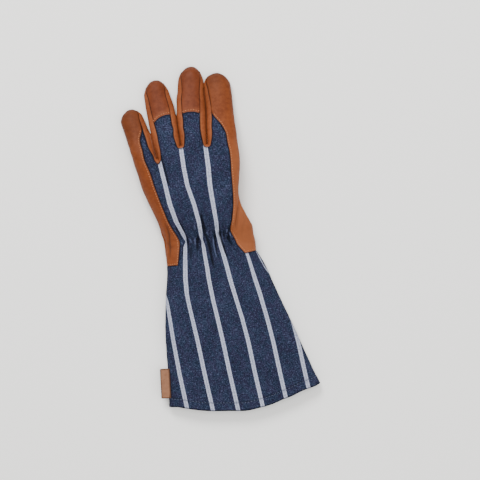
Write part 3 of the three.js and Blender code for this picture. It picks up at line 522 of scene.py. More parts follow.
def rim_distance(edges, co):
    """Millimetres from each place to the nearest of the rim's edges."""
    points = []
    for a, b, _ in edges:
        parts = max(1, math.ceil((b - a).length / RIM_STEP))
        points += [a.lerp(b, n / parts) for n in range(parts + 1)]
    if not points:
        return np.full(len(co), NO_RIM)
    tree = point_tree(points)
    return np.array([tree.find(p)[2] for p in co]) * 1000


denim_edges = [(a + b) / 2 for name in DENIM for a, b, _ in rims[name]]
denim_tree = point_tree(denim_edges)
print("edges of denim:", len(denim_edges))

# %% [markdown]
# The solids have few sections, so here and there their outline misses the photograph's by a pixel
# or two. More sections would cost triangles, so small moves in plan do it, each fading out round
# its place. The tab is moved as a whole, to stay straight.

# %% Small moves in plan
# Each row: the place's x and y, the move right and down, and its reach, in the photograph's pixels.
NUDGES = [
    (132, 112, 0, -1, 8),
    (156, 84, 0, -1.2, 8),
    (169, 92, -1.8, 0, 9),
    (145.5, 98, 0.7, 0, 9),
    (191, 68.5, 0, -0.9, 8),
    (178, 82, 1.5, 0, 6),
    (177.5, 91, 1.9, 0, 6),
    (190.5, 112, 0, 1.1, 9),
    (151.5, 139, 0.5, 0, 7),
    (203, 78, -0.5, 0, 7),
    (204.5, 92, -1, 0, 9),
    (217, 75, 0, -1, 8),
    (207.5, 76.5, -1, -0.3, 4),
    (131, 119, -0.8, 0, 11),
    (137, 142, -1.9, 0, 7),
    (142, 164, -2.2, 0, 8),
    (158.5, 162, 0.6, 3.8, 4.5),
    (199.5, 113.5, 0, 1.6, 4),
    (181.5, 113, 0, 0.9, 4),
    (228, 145, -1.3, 0, 9),
    (138, 135.5, -1.6, 0, 5),
    (184, 128, -1, 0, 5),
    (172.5, 130, 1.1, 0, 4.5),
    (213, 127, -0.8, 0, 6),
    (158, 142, -0.8, 0, 6),
    (169, 405, -0.4, 2.3, 7),
    (248, 408, 0, 2.1, 13),
    (270, 403, 0, 2.1, 14),
    (292, 393, 0, 1.3, 10),
    (317, 382, 1.3, 2.9, 14),
]
TAB_SHIFT = (-0.7, 1.1)


def nudged(co, node):
    """Places moved in plan, to fit the photograph's outline."""
    x, y = pixels(co)
    moved = co.copy()
    if node == "tab":
        moved[:, 0] += TAB_SHIFT[0] * METRES_PER_PIXEL
        moved[:, 1] -= TAB_SHIFT[1] * METRES_PER_PIXEL
        return moved
    for px, py, right, down, reach in NUDGES:
        away = np.hypot(x - px, y - py)
        share = np.exp(-((away / reach) ** 2)) * METRES_PER_PIXEL
        moved[:, 0] += right * share
        moved[:, 1] -= down * share
    return moved


print("moves in plan:", len(NUDGES))

# %% [markdown]
# Neighbouring fingers lean on each other, with only a thin dark line between. The solids keep a
# gap there. Joining them would make one finger of two, so each side swells until it nearly meets
# the other. How deep a place lies between them is measured, for painted shade in the leather.

# %% Where fingers meet
# The height in the photograph from which they meet, and the widest gaps, in metres, that are
# filled and that get painted shade.
MEETING = {
    "sides_little_ring": {"height": 131.5, "gap": 0.0036, "shade": 0.0040},
    "sides_ring_middle": {"height": 112.0, "gap": 0.0020, "shade": 0.0027},
    "sides_middle_index": {"height": 86.5, "gap": 0.0020, "shade": 0.0027},
}
MEETING_RUN = 4.0
FILLED = 0.85
OFF_SURFACE = 5e-5
FILL_RAMP = 0.0005
SHADE_RAMP = 0.001


def room_between(node, co, normal):
    """How far each outer vertex moves out to meet the strip that faces it, in millimetres, and how
    deep it lies between the two, from 0 to 1."""
    mesh = sewn[node].data
    meet = MEETING[node]
    _, y = pixels(co)
    tree = face_tree(mesh, co)
    room = np.zeros(len(co))
    hidden = np.zeros(len(co))
    for index in outer_vertices(mesh):
        way = Vector(normal[index])
        hit = tree.ray_cast(Vector(co[index]) + way * OFF_SURFACE, way, meet["gap"])
        if hit[0] is not None:
            near = min(1.0, max(0.0, (meet["gap"] - hit[3]) / FILL_RAMP))
            low = min(1.0, max(0.0, (y[index] - meet["height"]) / MEETING_RUN))
            room[index] = FILLED / 2 * hit[3] * 1000 * near * low
        level = Vector((way.x, way.y, 0)).normalized()
        across = tree.ray_cast(Vector(co[index]) + level * OFF_SURFACE, level, meet["shade"])
        if across[0] is not None and y[index] > meet["height"]:
            hidden[index] = min(1.0, (meet["shade"] - across[3]) / SHADE_RAMP)
    return room, hidden


print("meeting strips:", sorted(MEETING))

# %% [markdown]
# Now folds, waves and the hem, a doubled strip with a pucker along its stitches, are pressed into
# each wall. Sculpting brushes could do it, but this way it runs again whenever a size changes. How
# deep a place lies in a crease, and how far it is from a rim, stays on the mesh for the materials.

# %% Press every piece
# The hem's sizes are in millimetres, the other lengths in metres.
UPWARD_RAMP = 0.3
CUFF_END = -0.15
INTO_CUFF = 0.5
HEM_WIDTH = 9.0
HEM_RISE = 0.25
HEM_EDGE = 0.6
HEM_PUCKER = 0.3
PUCKER_WIDTH = 0.9
FINE_WAVES = 2.3
FLOOR_GAP = 0.0003
RESTING_HEIGHT = 0.002
RESTING_RAMP = 0.004
BETWEEN_DEPTH = 0.85


def at_hem(node):
    """The rim edges along the cuff's open end."""
    return [edge for edge in rims[node] if edge[0].y < CUFF_END and edge[2].y > INTO_CUFF]


def press_folds(node):
    """Shapes one piece, and keeps on it what the materials need to know."""
    mesh = sewn[node].data
    co, normal = vertex_arrays(mesh)
    base = nearest_outer(mesh, co)
    x, y = pixels(co)
    upper = np.clip(normal[:, 2] / UPWARD_RAMP, 0, 1)
    # The narrow folds' depth also goes to the materials, for painted shade in creases and paler ridges.
    creases = fold_amount(x, y, GATHERS + RIDGES + LEATHER_CREASES) * upper
    folds = creases + fold_amount(x, y, SOFT_FOLDS) * upper
    from_hem = rim_distance(at_hem(node) if node in DENIM else [], co)
    hem = np.clip((HEM_WIDTH + HEM_EDGE - from_hem) / HEM_EDGE, 0, 1) * HEM_RISE
    hem -= HEM_PUCKER * np.exp(-(((from_hem - HEM_WIDTH) / PUCKER_WIDTH) ** 2))
    size, height = WAVES["denim" if node in DENIM else "tab" if node == "tab" else "leather"]
    waves = soft_noise(co, size, 2) + 0.5 * soft_noise(co, size / FINE_WAVES, 5)
    above_floor = np.clip((co[:, 2] - RESTING_HEIGHT) / RESTING_RAMP, 0, 1)
    amount = (folds + (waves * height + hem) * above_floor)[base]
    if node.startswith("sides_"):
        amount, hidden = (values[base] for values in room_between(node, co, normal))
        # The depth between the fingers darkens the leather there as painted shade.
        creases = np.minimum(creases, -BETWEEN_DEPTH * hidden)
    moved = nudged(co + normal[base] * amount[:, None] / 1000, node)
    moved[:, 2] = np.maximum(moved[:, 2], FLOOR_GAP)
    mesh.vertices.foreach_set("co", moved.ravel())
    mesh.update()
    set_attribute(mesh, "fold", creases[base])
    set_attribute(mesh, "hem", from_hem)
    set_attribute(mesh, "seam", rim_distance(rims[node], co))
    beside = [e for e in rims[node] if denim_tree.find((e[0] + e[1]) / 2)[2] < NEAR_DENIM]
    set_attribute(mesh, "trim", rim_distance(beside, co))


for node in sewn:
    press_folds(node)
for node in sewn:
    for n, (a, b, inward) in enumerate(rims[node]):
        ends = nudged(np.array([a, b]), node)
        rims[node][n] = (Vector(ends[0]), Vector(ends[1]), inward)
print("pressed", len(sewn), "pieces")

# %% [markdown]
# The pale stripes are woven in, so they bend and crowd together where the cloth is gathered. A
# flat projection would keep them straight. So each point gets its place on the uncut cloth, in
# millimetres: u runs across the stripes and v along them. Their lines are read from the
# photograph: at each height, the places of three neighbouring stripes.

# %% Lines of the stripes
STRIPE_PITCH = 28.0
# Each row: the height, three stripes' places, the spacing to the left of them, to the right and
# beyond that, and how wide a stripe looks there as a share of its woven width.
STRIPE_COLUMNS = ("y", "a", "b", "c", "left", "right", "far", "wide")
STRIPES = [
    (100, 140, 173.5, 200.5, 24, 26, 25, 1),
    (128, 149, 178, 202.7, 23.8, 26.2, 25, 1),
    (150, 156.8, 181.5, 206, 23.5, 26.4, 25, 1.05),
    (168, 161.3, 184, 208.5, 23.5, 26, 25, 1.1),
    (186, 165.9, 187.7, 210, 23, 25.6, 25, 1.18),
    (204, 170, 194.5, 213, 22, 23.8, 25, 1.25),
    (222, 176.4, 199.4, 216.2, 20, 20, 20, 1.3),
    (234, 183.3, 201.1, 217.4, 19, 20, 12, 1.38),
    (238, 185.1, 201.5, 218.6, 18.3, 21.3, 10, 1.3),
    (242, 186.2, 202.7, 219.4, 18.3, 22.5, 9.2, 1.25),
    (248, 185.4, 203.9, 221, 19.3, 24.2, 9.2, 1.2),
    (256, 185.3, 205.1, 223.6, 20.8, 25.1, 10, 1.22),
    (268, 185.4, 207.4, 227, 22.8, 25.3, 12.8, 1.18),
    (278, 185.5, 208.8, 229.6, 24, 25.4, 20, 1.15),
    (294, 186.8, 212, 234.5, 23, 25.6, 25, 1.05),
    (303, 188.5, 213.9, 237.3, 21.2, 25.3, 25, 1),
    (318, 192.1, 217.6, 242.1, 22.4, 25, 25, 1),
    (342, 197.9, 223.1, 248.5, 24.3, 24.8, 25, 1),
    (374, 204.7, 230, 255.2, 25.1, 25.1, 25, 1),
    (420, 215.2, 240.5, 266, 25.6, 25.1, 25, 1),
]
# Where a gather folds part of a stripe away: the place, its reach in pixels and the hidden share.
PINCHES = [
    ((186.3, 241.6), 3.6, 0.72),
    ((201.8, 240.2), 4, 0.45),
    ((217.3, 232.9), 3.5, 0.25),
    ((258, 252), 7, 0.72),
    ((264.5, 264), 7, 0.72),
]


def stripe_row(y):
    """The table's columns at given heights, read between its rows."""
    columns = dict(zip(STRIPE_COLUMNS, np.array(STRIPES, float).T))
    return {name: np.interp(y, columns["y"], values) for name, values in columns.items()}


print("rows of stripes:", len(STRIPES))

# %% Places across the stripes
UNDER_SHIFT = 0.37


def stripe_place(x, y, turns_under):
    """How many stripes to the right of the second one a place lies. The upper cloth turns under
    at the thumb's side, where its stripes look closer together."""
    read = stripe_row(y)
    if not turns_under:
        read["far"] = read["right"]
    left = -1 + (x - read["a"]) / read["left"]
    between_ab = -1 + (x - read["a"]) / (read["b"] - read["a"])
    between_bc = (x - read["b"]) / (read["c"] - read["b"])
    beyond = x - read["c"]
    right = 1 + beyond / read["right"]
    far = 2 + (beyond - read["right"]) / read["far"]
    inner = np.where(x < read["b"], between_ab, between_bc)
    outer = np.where(beyond > read["right"], far, right)
    return np.where(x < read["a"], left, np.where(beyond > 0, outer, inner))


def stripe_breadth(x, y):
    """How wide the upper cloth's stripe looks at a place, as a share of its woven width."""
    breadth = stripe_row(y)["wide"]
    for (px, py), reach, hidden in PINCHES:
        breadth = breadth * (1 - hidden * np.exp(-((x - px) ** 2 + (y - py) ** 2) / reach**2))
    return breadth


def set_cloth_coordinates(node):
    mesh = sewn[node].data
    co, _ = vertex_arrays(mesh)
    x, y = pixels(co)
    upper = node == "denim_back"
    u = stripe_place(x, y, upper) + (0 if upper else UNDER_SHIFT)
    per_vertex = np.stack([u * STRIPE_PITCH, -y * METRES_PER_PIXEL * 1000], axis=1)
    corners = np.empty(len(mesh.loops), int)
    mesh.loops.foreach_get("vertex_index", corners)
    layer = mesh.uv_layers.new(name="cloth")
    layer.uv.foreach_set("vector", per_vertex[corners].astype(np.float32).ravel())
    set_attribute(mesh, "breadth", stripe_breadth(x, y) if upper else np.ones(len(x)))


for node in DENIM:
    set_cloth_coordinates(node)
print("stripes reach from", np.round(stripe_place(np.array([167.0]), np.array([400.0]), True), 2))

# %% [markdown]
# Seams hold the glove together, and their thread shows as rows of short bars with sunk ends. They
# could be painted in the material, but real ones cast small shadows. Each is a copy of one
# rounded bar, turned to lie along the seam.

# %% One stitch
STITCH_SINK = 0.35


def plain_stitch():
    """One stitch at the origin: a rounded bar, one long along Z and one wide."""
    bm = bmesh.new()
    bm.loops.layers.uv.new("twist")
    bmesh.ops.create_uvsphere(bm, u_segments=6, v_segments=4, radius=0.5, calc_uvs=True)
    return mesh_from(bm, "plain_stitch")


STITCH = plain_stitch()


def add_stitch(bm, place, along, up, length, radius):
    side = up.cross(along).normalized()
    sizes = (2 * radius, 2 * radius, length)
    turned = Matrix([axis * size for axis, size in zip((side, up, along), sizes)]).transposed()
    one = STITCH.copy()
    one.transform(Matrix.Translation(place + up * (STITCH_SINK * radius)) @ turned.to_4x4())
    bm.from_mesh(one)
    bpy.data.meshes.remove(one)


print("a stitch has", len(STITCH.polygons), "faces")

# %% [markdown]
# A seam is the run of a piece's rim that lies close to its neighbour. It could be drawn as a curve
# by hand, but the rims are there already: their edges are picked by distance and put in order.

# %% Runs of a seam
KEY_STEPS = 1e5
SEAM_REACH = 1.4


def rim_chain(edges):
    """Puts rim edges in order, as one or more lists of (point, inward direction)."""

    def key(point):
        return tuple(round(c * KEY_STEPS) for c in point)

    links = {}
    for a, b, inward in edges:
        links.setdefault(key(a), []).append((a, b, inward))
        links.setdefault(key(b), []).append((b, a, inward))
    used = set()
    chains = []
    starts = [k for k, out in links.items() if len(out) == 1] + list(links)
    for start in starts:
        chain = []
        here = start
        while True:
            free = [e for e in links[here] if frozenset((key(e[0]), key(e[1]))) not in used]
            if not free:
                break
            a, b, inward = free[0]
            used.add(frozenset((key(a), key(b))))
            if not chain:
                chain.append((a, inward))
            chain.append((b, inward))
            here = key(b)
        if len(chain) > 2:
            chains.append(chain)
    return chains


surfaces = {node: face_tree(sewn[node].data, vertex_arrays(sewn[node].data)[0]) for node in sewn}


def seam_run(node, near):
    """The rim edges of a node that lie close to another node."""
    return [
        (a, b, inward)
        for a, b, inward in rims[node]
        if surfaces[near].find_nearest((a + b) / 2)[3] * 1000 <= SEAM_REACH
    ]


print("edges of the palm's seam with the back:", len(seam_run("palm", "denim_back")))

# %% [markdown]
# A sewing machine makes even stitches. An array along a curve could do that, but here each stitch
# has to lie on the bent surface too. So the row is walked at its pitch, and each stitch is set on
# the nearest place of the wall.

# %% Sew a row
SHORTEST = 1e-9


def spots_along(points, pitch):
    """Evenly spaced places along a line of points, each with the line's direction there."""
    steps = [(b - a).length for a, b in zip(points, points[1:])]
    total = sum(steps)
    stitches = max(1, round(total * 1000 / pitch))
    for k in range(stitches):
        goal = (k + 0.5) / stitches * total
        n = 0
        while n < len(steps) - 1 and goal > steps[n]:
            goal -= steps[n]
            n += 1
        spot = points[n].lerp(points[n + 1], goal / max(steps[n], SHORTEST))
        yield spot, (points[n + 1] - points[n]).normalized()


def sew(name, runs, pitch, length, radius):
    """runs: (node, rim edges, inset) for each row of stitches. Lengths are in millimetres."""
    bm = bmesh.new()
    bm.loops.layers.uv.new("twist")
    count = 0
    for node, edges, inset in runs:
        for chain in rim_chain(edges):
            points = [p + inward * (inset / 1000) for p, inward in chain]
            for spot, way in spots_along(points, pitch):
                place, up, _, _ = surfaces[node].find_nearest(spot)
                along = (way - up * way.dot(up)).normalized()
                add_stitch(bm, place, along, up, length / 1000, radius / 1000)
                count += 1
    for vertex in bm.verts:
        vertex.co.z = max(vertex.co.z, 0.0)
    mesh = mesh_from(bm, name)
    mesh.shade_smooth()
    row = add_object(name, mesh)
    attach(row, "root")
    print(name, count, "stitches")
    return row


# %% [markdown]
# The leather has tan thread along its seams, in two rows at the cuff. The patches under the
# fingertips and the palm pad are sewn on all round, and grey thread holds the hem. All rows could
# be one piece, but three keep apart those whose thread or place differs.

# %% Rows of stitches
THREAD_RADIUS = 0.3
cuff_seam = seam_run("palm", "cuff_under")
leather_rows = [("palm", seam_run("palm", "denim_back"), 1.5)]
leather_rows += [("palm", cuff_seam, 1.5), ("palm", cuff_seam, 3.4)]
for finger in ("ring", "middle"):
    leather_rows.append((f"cap_{finger}", seam_run(f"cap_{finger}", "denim_back"), 2.5))
leather_rows.append(("palm", seam_run("palm", "thumb"), 1.6))
leather_stitches = sew("leather_stitches", leather_rows, 2.9, 1.5, THREAD_RADIUS)

patch_rows = [(f"tip_patch_{finger}", rims[f"tip_patch_{finger}"], 1.3) for finger in FINGERS]
patch_rows += [("palm_pad", rims["palm_pad"], 1.4), ("palm_pad", rims["palm_pad"], 3.2)]
patch_stitches = sew("patch_stitches", patch_rows, 2.9, 1.6, THREAD_RADIUS)

hem_rows = [(node, at_hem(node), HEM_WIDTH) for node in DENIM]
hem_stitches = sew("hem_stitches", hem_rows, 3.4, 2.4, THREAD_RADIUS)

# %% [markdown]
# All the materials are procedural. They could be wired by hand in the shader editor, but helpers
# that add nodes, fill inputs and link sockets keep them short enough to read here.

# %% Colours and nodes
def linear(red, green, blue):
    """A colour written as 0 to 255 in sRGB, as linear values."""
    values = [c / 255 for c in (red, green, blue)]
    return tuple(c / 12.92 if c <= 0.04045 else ((c + 0.055) / 1.055) ** 2.4 for c in values)


def darker(color, share):
    return tuple(c * share for c in color)


def is_socket(value):
    return isinstance(value, bpy.types.NodeSocket)


def fill(tree, made, inputs):
    """Links each input that is given as a socket, and sets the others."""
    for key, value in inputs.items():
        if is_socket(value):
            tree.links.new(value, made.inputs[key])
        else:
            made.inputs[key].default_value = value


def add_node(tree, kind, inputs=None, **settings):
    made = tree.nodes.new(kind)
    for key, value in settings.items():
        setattr(made, key, value)
    fill(tree, made, inputs or {})
    return made


print("linear mid grey:", [round(c, 3) for c in linear(128, 128, 128)])


# %% Sums, ramps and blends
def math_node(tree, operation, *values):
    made = add_node(tree, "ShaderNodeMath", dict(enumerate(values)), operation=operation)
    return made.outputs[0]


def plus(tree, a, b):
    return math_node(tree, "ADD", a, b)


def minus(tree, a, b):
    return math_node(tree, "SUBTRACT", a, b)


def times(tree, a, b):
    return math_node(tree, "MULTIPLY", a, b)


def ranged(tree, value, low, high, to_low=0.0, to_high=1.0):
    """A soft ramp: to_low where the value is low or less, to_high where it is high or more."""
    inputs = {"Value": value, "From Min": low, "From Max": high, "To Min": to_low, "To Max": to_high}
    return add_node(tree, "ShaderNodeMapRange", inputs, interpolation_type="SMOOTHSTEP").outputs["Result"]


def blend(tree, factor, a, b):
    """Colour a where the factor is 0, colour b where it is 1."""
    colors = {key: c if is_socket(c) else (*c, 1) for key, c in ((6, a), (7, b))}
    return add_node(tree, "ShaderNodeMix", {0: factor, **colors}, data_type="RGBA").outputs[2]


def layered(tree, color, layers):
    """Lays colours over one another. Each layer has a value, the ramp that makes a share of it,
    and a colour."""
    for value, ramp, over in layers:
        color = blend(tree, ranged(tree, value, *ramp), color, over)
    return color


def noise_node(tree, vector, scale, detail=3.0, rough=0.5):
    inputs = {"Vector": vector, "Scale": scale, "Detail": detail, "Roughness": rough}
    return add_node(tree, "ShaderNodeTexNoise", inputs).outputs["Fac"]


def stretched(tree, vector, scale):
    return add_node(tree, "ShaderNodeMapping", {"Vector": vector, "Scale": scale}).outputs["Vector"]


def attribute(tree, name):
    return add_node(tree, "ShaderNodeAttribute", attribute_name=name).outputs["Fac"]


# %% Groups and surfaces
FLOAT, VECTOR = "NodeSocketFloat", "NodeSocketVector"


def new_group(name, inputs, outputs):
    """A node group with its input and output nodes."""
    tree = bpy.data.node_groups.new(name, "ShaderNodeTree")
    for socket, kind in inputs.items():
        tree.interface.new_socket(socket, in_out="INPUT", socket_type=kind)
    for socket, kind in outputs.items():
        tree.interface.new_socket(socket, in_out="OUTPUT", socket_type=kind)
    return tree, tree.nodes.new("NodeGroupInput"), tree.nodes.new("NodeGroupOutput")


def use_group(tree, group, inputs):
    made = tree.nodes.new("ShaderNodeGroup")
    made.node_tree = group
    fill(tree, made, inputs)
    return made.outputs


def finish_surface(tree, shader, color, height, finish):
    """Fills the shader. The finish gives the bump's strength and depth, the shine and roughness."""
    strength, depth, shine, roughness = finish
    bump = {"Strength": strength, "Distance": depth, "Height": height}
    normal = add_node(tree, "ShaderNodeBump", bump).outputs[0]
    surface = {"Base Color": color, "Normal": normal, "Roughness": roughness}
    fill(tree, shader, {**surface, "Specular IOR Level": shine})


# %% [markdown]
# Work leather has a pebbled grain, fine pores, pull lines and soft clouds of tone. A picture of
# leather would stretch over the seams. Noise and cells in metres have their true size on every
# piece, so one node group serves all the leather.

# %% The leather's grain
grain, given, result = new_group(
    "leather_grain", {"Place": VECTOR}, {"Tone": FLOAT, "Speckle": FLOAT, "Height": FLOAT}
)
place = given.outputs["Place"]
clouds = noise_node(grain, place, 38, 4, 0.55)
mottle = noise_node(grain, place, 260, 3, 0.6)
pull_lines = noise_node(grain, stretched(grain, place, (420, 120, 200)), 1.0, 3, 0.6)
pores = noise_node(grain, place, 700, 2)
wobble = add_node(grain, "ShaderNodeTexNoise", {"Vector": place, "Scale": 500.0}).outputs["Color"]
shift = add_node(grain, "ShaderNodeVectorMath", {0: wobble, "Scale": 0.0012}, operation="SCALE")
uneven = add_node(grain, "ShaderNodeVectorMath", {0: place, 1: shift.outputs[0]}, operation="ADD")
cells = {"Vector": uneven.outputs[0], "Scale": 1050.0}
pebble = add_node(grain, "ShaderNodeTexVoronoi", cells, feature="DISTANCE_TO_EDGE").outputs["Distance"]
top = ranged(grain, pebble, 0.02, 0.22)
tone = plus(grain, times(grain, clouds, 0.5), times(grain, mottle, 0.5))
height = plus(grain, times(grain, top, 0.55), times(grain, pores, 0.3))
height = plus(grain, height, times(grain, pull_lines, 0.35))
fill(grain, result, {"Tone": tone, "Speckle": times(grain, pull_lines, top), "Height": height})
print("grain group:", len(grain.nodes), "nodes")

# %% [markdown]
# Beside its seams to the denim the leather gets a painted highlight, and its edges and creases get
# painted shade. Painted marks would have to follow each seam by hand. The distances kept on the
# meshes place them here. Broad tones follow the photograph: paler on the thumb's side, and painted
# shade at the fingertips.

# %% Leather material
# The bump's strength, its depth in metres and the shine.
LEATHER_FINISH = (0.3, 0.0003, 0.16)
TIP_SLANT = 0.8


def leather_material(name, colors, roughness=0.58, trim_width=2.6, edge_line=(0.05, 0.9), little_tip=0.0):
    """Widths in millimetres from the rim: the trim's painted highlight, the edge line's painted shade."""
    dark, light, highlight_and_pale = colors
    material, tree, shader = new_material(name)
    place = add_node(tree, "ShaderNodeTexCoord").outputs["Object"]
    made = use_group(tree, grain, {"Place": place})
    color = layered(tree, dark, [
        (made["Tone"], (0.34, 0.66), light),
        (made["Speckle"], (0.25, 0.62, 0.0, 0.3), light),
        # Painted highlight beside the denim, painted shade at the rims, in creases and between fingers.
        (attribute(tree, "trim"), (0.5, trim_width, 0.45, 0.0), highlight_and_pale),
        (attribute(tree, "seam"), (*edge_line, 0.85, 0.0), darker(dark, 0.2)),
        (attribute(tree, "fold"), (-1.1, -0.05, 0.8, 0.0), darker(dark, 0.3)),
    ])
    # Paler on the thumb's side and the lower hand; painted shade darkens the fingertips.
    x, y, _ = add_node(tree, "ShaderNodeSeparateXYZ", {"Vector": place}).outputs
    pale = times(tree, ranged(tree, x, 0.0, 0.02, 0.0, 0.5), ranged(tree, y, 0.09, 0.13, 1.0, 0.0))
    pale = plus(tree, pale, ranged(tree, y, -0.01, 0.035, 0.12, 0.0))
    to_little_tip = minus(tree, y, times(tree, x, TIP_SLANT))
    color = layered(tree, blend(tree, pale, color, highlight_and_pale), [
        (y, (0.13, 0.19, 0.0, 0.22), darker(dark, 0.5)),
        (to_little_tip, (0.15, 0.21, 0.0, little_tip), darker(dark, 0.5)),
    ])
    worn = ranged(tree, made["Tone"], 0.3, 0.7, roughness + 0.07, roughness - 0.06)
    finish_surface(tree, shader, color, made["Height"], (*LEATHER_FINISH, worn))
    return material


# %% The leathers
# Each row: the dark tone, the light tone, and the paler tone of the painted highlight beside seams.
TAN = (linear(91, 40, 11), linear(112, 54, 19), linear(140, 80, 46))
STRIP = (linear(104, 50, 22), linear(126, 66, 34), linear(140, 80, 46))
CAP = (linear(82, 33, 8), linear(100, 44, 13), linear(130, 71, 40))
TAB = (linear(112, 74, 54), linear(134, 94, 70), linear(134, 94, 70))
FLESH = (linear(112, 76, 55), linear(134, 96, 72), linear(134, 96, 72))
CUT_EDGE = (linear(58, 31, 20), linear(78, 44, 29), linear(78, 44, 29))
leather_face = leather_material("leather_face", TAN, little_tip=0.5)
cap_face = leather_material("cap_face", CAP, 0.54, 7.5)
strip_face = leather_material("strip_face", STRIP)
# The tab's wider dark edge is partly its dark border and partly painted shade.
tab_face = leather_material("tab_face", TAB, 0.7, edge_line=(0.7, 1.6))
leather_flesh = leather_material("leather_flesh", FLESH, 0.9)
leather_cut = leather_material("leather_cut", CUT_EDGE, 0.85)
print("leathers:", sorted(m.name for m in bpy.data.materials if m.name != "floor"))

# %% [markdown]
# Denim is a twill: indigo and paler yarns cross in slanting ribs, and uneven yarns leave flecks.
# Modelled yarns would be far too many. Noise stretched along the yarns gives their colour, and a
# slanting wave the ribs. The pale stripe has a ragged edge and a darker thread along its middle.

# %% The denim's weave
STRIPE_WIDTH = 4.4
TWILL_PITCH = 0.95
weave, given, result = new_group(
    "denim_weave",
    {"Cloth": VECTOR, "Breadth": FLOAT},
    {"Yarn": FLOAT, "Fleck": FLOAT, "Hue": FLOAT, "Stripe": FLOAT, "Thread": FLOAT, "Height": FLOAT},
)
cloth = given.outputs["Cloth"]
split = add_node(weave, "ShaderNodeSeparateXYZ", {"Vector": cloth})
u, v = split.outputs["X"], split.outputs["Y"]
warp_yarns = noise_node(weave, stretched(weave, cloth, (1.5, 0.22, 1.0)), 1.0, 4, 0.65)
weft_yarns = noise_node(weave, stretched(weave, cloth, (0.25, 1.35, 1.0)), 1.0, 4, 0.65)
flecks = noise_node(weave, stretched(weave, cloth, (0.95, 0.7, 1.0)), 1.0, 5, 0.8)
clouds = noise_node(weave, stretched(weave, cloth, (0.05, 0.04, 1.0)), 1.0, 3, 0.55)
patches = noise_node(weave, stretched(weave, cloth, (0.16, 0.11, 1.0)), 1.0, 3, 0.6)
diagonal = plus(weave, plus(weave, u, times(weave, v, 0.8)), times(weave, flecks, 1.6))
twill = math_node(weave, "SINE", times(weave, diagonal, 2 * math.pi / TWILL_PITCH))
yarn = plus(weave, times(weave, warp_yarns, 0.5), times(weave, weft_yarns, 0.5))
clouded = plus(weave, yarn, times(weave, minus(weave, clouds, 0.5), 0.16))
print("weave group so far:", len(weave.nodes), "nodes")

# %% The woven stripe
in_pitch = math_node(weave, "WRAP", u, -STRIPE_PITCH / 2, STRIPE_PITCH / 2)
ragged = times(weave, minus(weave, noise_node(weave, cloth, 1.6, 2), 0.5), 1.1)
from_middle = math_node(weave, "ABSOLUTE", plus(weave, in_pitch, ragged))
half_width = times(weave, given.outputs["Breadth"], STRIPE_WIDTH / 2)
stripe = ranged(weave, minus(weave, from_middle, half_width), -0.35, 0.35, 1.0, 0.0)
beads = noise_node(weave, stretched(weave, cloth, (0.3, 0.55, 1.0)), 1.0, 2)
beads = ranged(weave, beads, 0.35, 0.6, 0.35, 1.0)
thread = times(weave, ranged(weave, from_middle, 0.25, 0.95, 1.0, 0.0), beads)
relief = plus(weave, times(weave, twill, 0.25), yarn)
relief = plus(weave, relief, times(weave, stripe, 0.12))
outputs = {"Yarn": clouded, "Fleck": flecks, "Hue": patches, "Stripe": stripe, "Thread": thread}
fill(weave, result, {**outputs, "Height": relief})
print("weave group:", len(weave.nodes), "nodes")

# %% [markdown]
# The denim gets painted shade in its creases, under its seams and along the hem's stitches, and is
# paler on the ridges, partly from wear and partly as painted highlight. A shader for each mark could
# be mixed in, but colours laid over one another are simpler. The same function also makes the
# cloth's paler inside.

# %% Denim material
# The bump's strength and depth, the shine and the roughness.
DENIM_FINISH = (0.5, 0.0004, 0.1, 0.88)


def denim_material(name, ink, chalk):
    """Denim with the ink's colours between its stripes and the chalk's in them."""
    material, tree, shader = new_material(name)
    cloth = add_node(tree, "ShaderNodeUVMap", uv_map="cloth").outputs["UV"]
    made = use_group(tree, weave, {"Cloth": cloth, "Breadth": attribute(tree, "breadth")})
    fold = attribute(tree, "fold")
    # The colour of the painted shade.
    deep = darker(ink["dark"], 0.3)
    # The indigo yarns, their flecks, and the ridges, paler from wear and painted highlight.
    body = blend(tree, ranged(tree, made["Hue"], 0.42, 0.58), ink["plum"], ink["teal"])
    color = layered(tree, ink["dark"], [
        (made["Yarn"], (0.36, 0.5), body),
        (made["Yarn"], (0.52, 0.66, 0.0, 0.7), ink["pale"]),
        (made["Fleck"], (0.53, 0.66, 0.0, 0.9), ink["pale"]),
        (made["Fleck"], (0.34, 0.46, 0.85, 0.0), ink["dark"]),
        (fold, (0.1, 0.6, 0.0, 0.45), ink["pale"]),
    ])
    # The pale stripe with its darker thread.
    light = blend(tree, ranged(tree, made["Fleck"], 0.4, 0.54), chalk["dark"], chalk["light"])
    light = blend(tree, times(tree, made["Thread"], 0.75), light, chalk["dark"])
    # The painted shade under a seam, in a crease and along the hem's stitches.
    from_line = math_node(tree, "ABSOLUTE", minus(tree, attribute(tree, "hem"), HEM_WIDTH))
    color = layered(tree, blend(tree, made["Stripe"], color, light), [
        (attribute(tree, "seam"), (0.1, 1.9, 0.8, 0.0), deep),
        (fold, (-1.0, -0.1, 0.75, 0.0), deep),
        (from_line, (0.3, 1.3, 0.4, 0.0), deep),
    ])
    finish_surface(tree, shader, color, made["Height"], DENIM_FINISH)
    return material


def tones(**colors):
    return {name: linear(*color) for name, color in colors.items()}


INK = tones(dark=(6, 8, 19), teal=(23, 32, 51), plum=(28, 28, 50), pale=(84, 93, 122))
INK_INSIDE = tones(dark=(50, 57, 76), teal=(74, 84, 104), plum=(80, 84, 106), pale=(118, 124, 140))
CHALK = tones(light=(174, 178, 196), dark=(108, 113, 136))
denim_face = denim_material("denim_face", INK, CHALK)
denim_inside = denim_material("denim_inside", INK_INSIDE, CHALK)
print("denims:", denim_face.name, denim_inside.name)

# %% [markdown]
# Sewing thread is twisted from plies, so it has slanting lines, a little fuzz and worn spots. Plies
# could be modelled as thin coils, but a stitch is 0.6 mm thick. A slanting wave round each stitch
# shows them as well at this size.

# %% Thread
TWISTS = 4.0
PLIES = 2.0
THREAD_FINISH = (0.4, 0.0001, 0.25, 0.65)


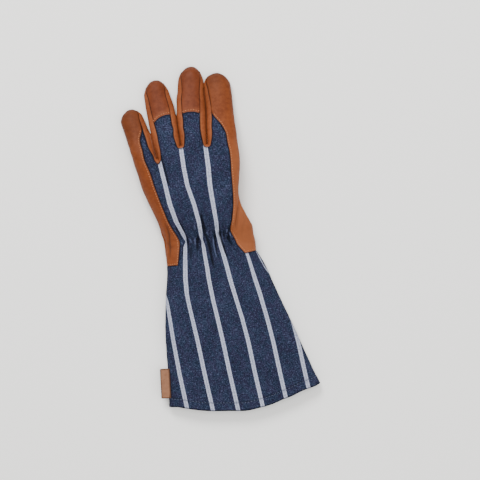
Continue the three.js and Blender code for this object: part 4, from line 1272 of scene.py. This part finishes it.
def thread_material(name, dark, light):
    material, tree, shader = new_material(name)
    around = add_node(tree, "ShaderNodeUVMap", uv_map="twist").outputs["UV"]
    split = add_node(tree, "ShaderNodeSeparateXYZ", {"Vector": around}).outputs
    turn = plus(tree, times(tree, split["Y"], TWISTS), times(tree, split["X"], PLIES))
    ply = math_node(tree, "SINE", times(tree, turn, 2 * math.pi))
    place = add_node(tree, "ShaderNodeTexCoord").outputs["Object"]
    fuzz = noise_node(tree, place, 2600, 3, 0.6)
    wear = noise_node(tree, place, 130, 2)
    shade = plus(tree, times(tree, ply, 0.22), fuzz)
    color = layered(tree, dark, [(shade, (0.25, 0.75), light), (wear, (0.4, 0.7, 0.0, 0.35), dark)])
    finish_surface(tree, shader, color, shade, THREAD_FINISH)
    return material


thread_tan = thread_material("thread_tan", linear(136, 84, 52), linear(190, 130, 90))
thread_grey = thread_material("thread_grey", linear(56, 62, 84), linear(92, 99, 122))
for row in (leather_stitches, patch_stitches):
    row.data.materials.append(thread_tan)
hem_stitches.data.materials.append(thread_grey)
print("threads:", thread_tan.name, thread_grey.name)

# %% [markdown]
# Every piece has three slots: its face, its paler inner side and its cut edge, which is dark on
# leather. One material for a whole piece would be quicker, but the open cuff lets one look inside.

# %% Materials on the pieces
CAPS = ("cap_ring", "cap_middle")
for name, piece in sewn.items():
    if name in DENIM:
        finishes = (denim_face, denim_inside, denim_inside)
    elif name in CAPS:
        finishes = (cap_face, leather_flesh, leather_cut)
    elif name.startswith("sides_"):
        finishes = (strip_face, leather_flesh, leather_cut)
    elif name == "tab":
        finishes = (tab_face, tab_face, leather_cut)
    else:
        finishes = (leather_face, leather_flesh, leather_cut)
    for slot, material in enumerate(finishes):
        piece.data.materials[slot] = material
print("dressed", len(sewn), "pieces")

# %% [markdown]
# Two denim parts are sheets that were cut flat, and the palm pad is padded. Here the script only
# names them.

# %% Soft pieces
print("soft pieces: denim_back_sewn, cuff_under_sewn, palm_pad_sewn")
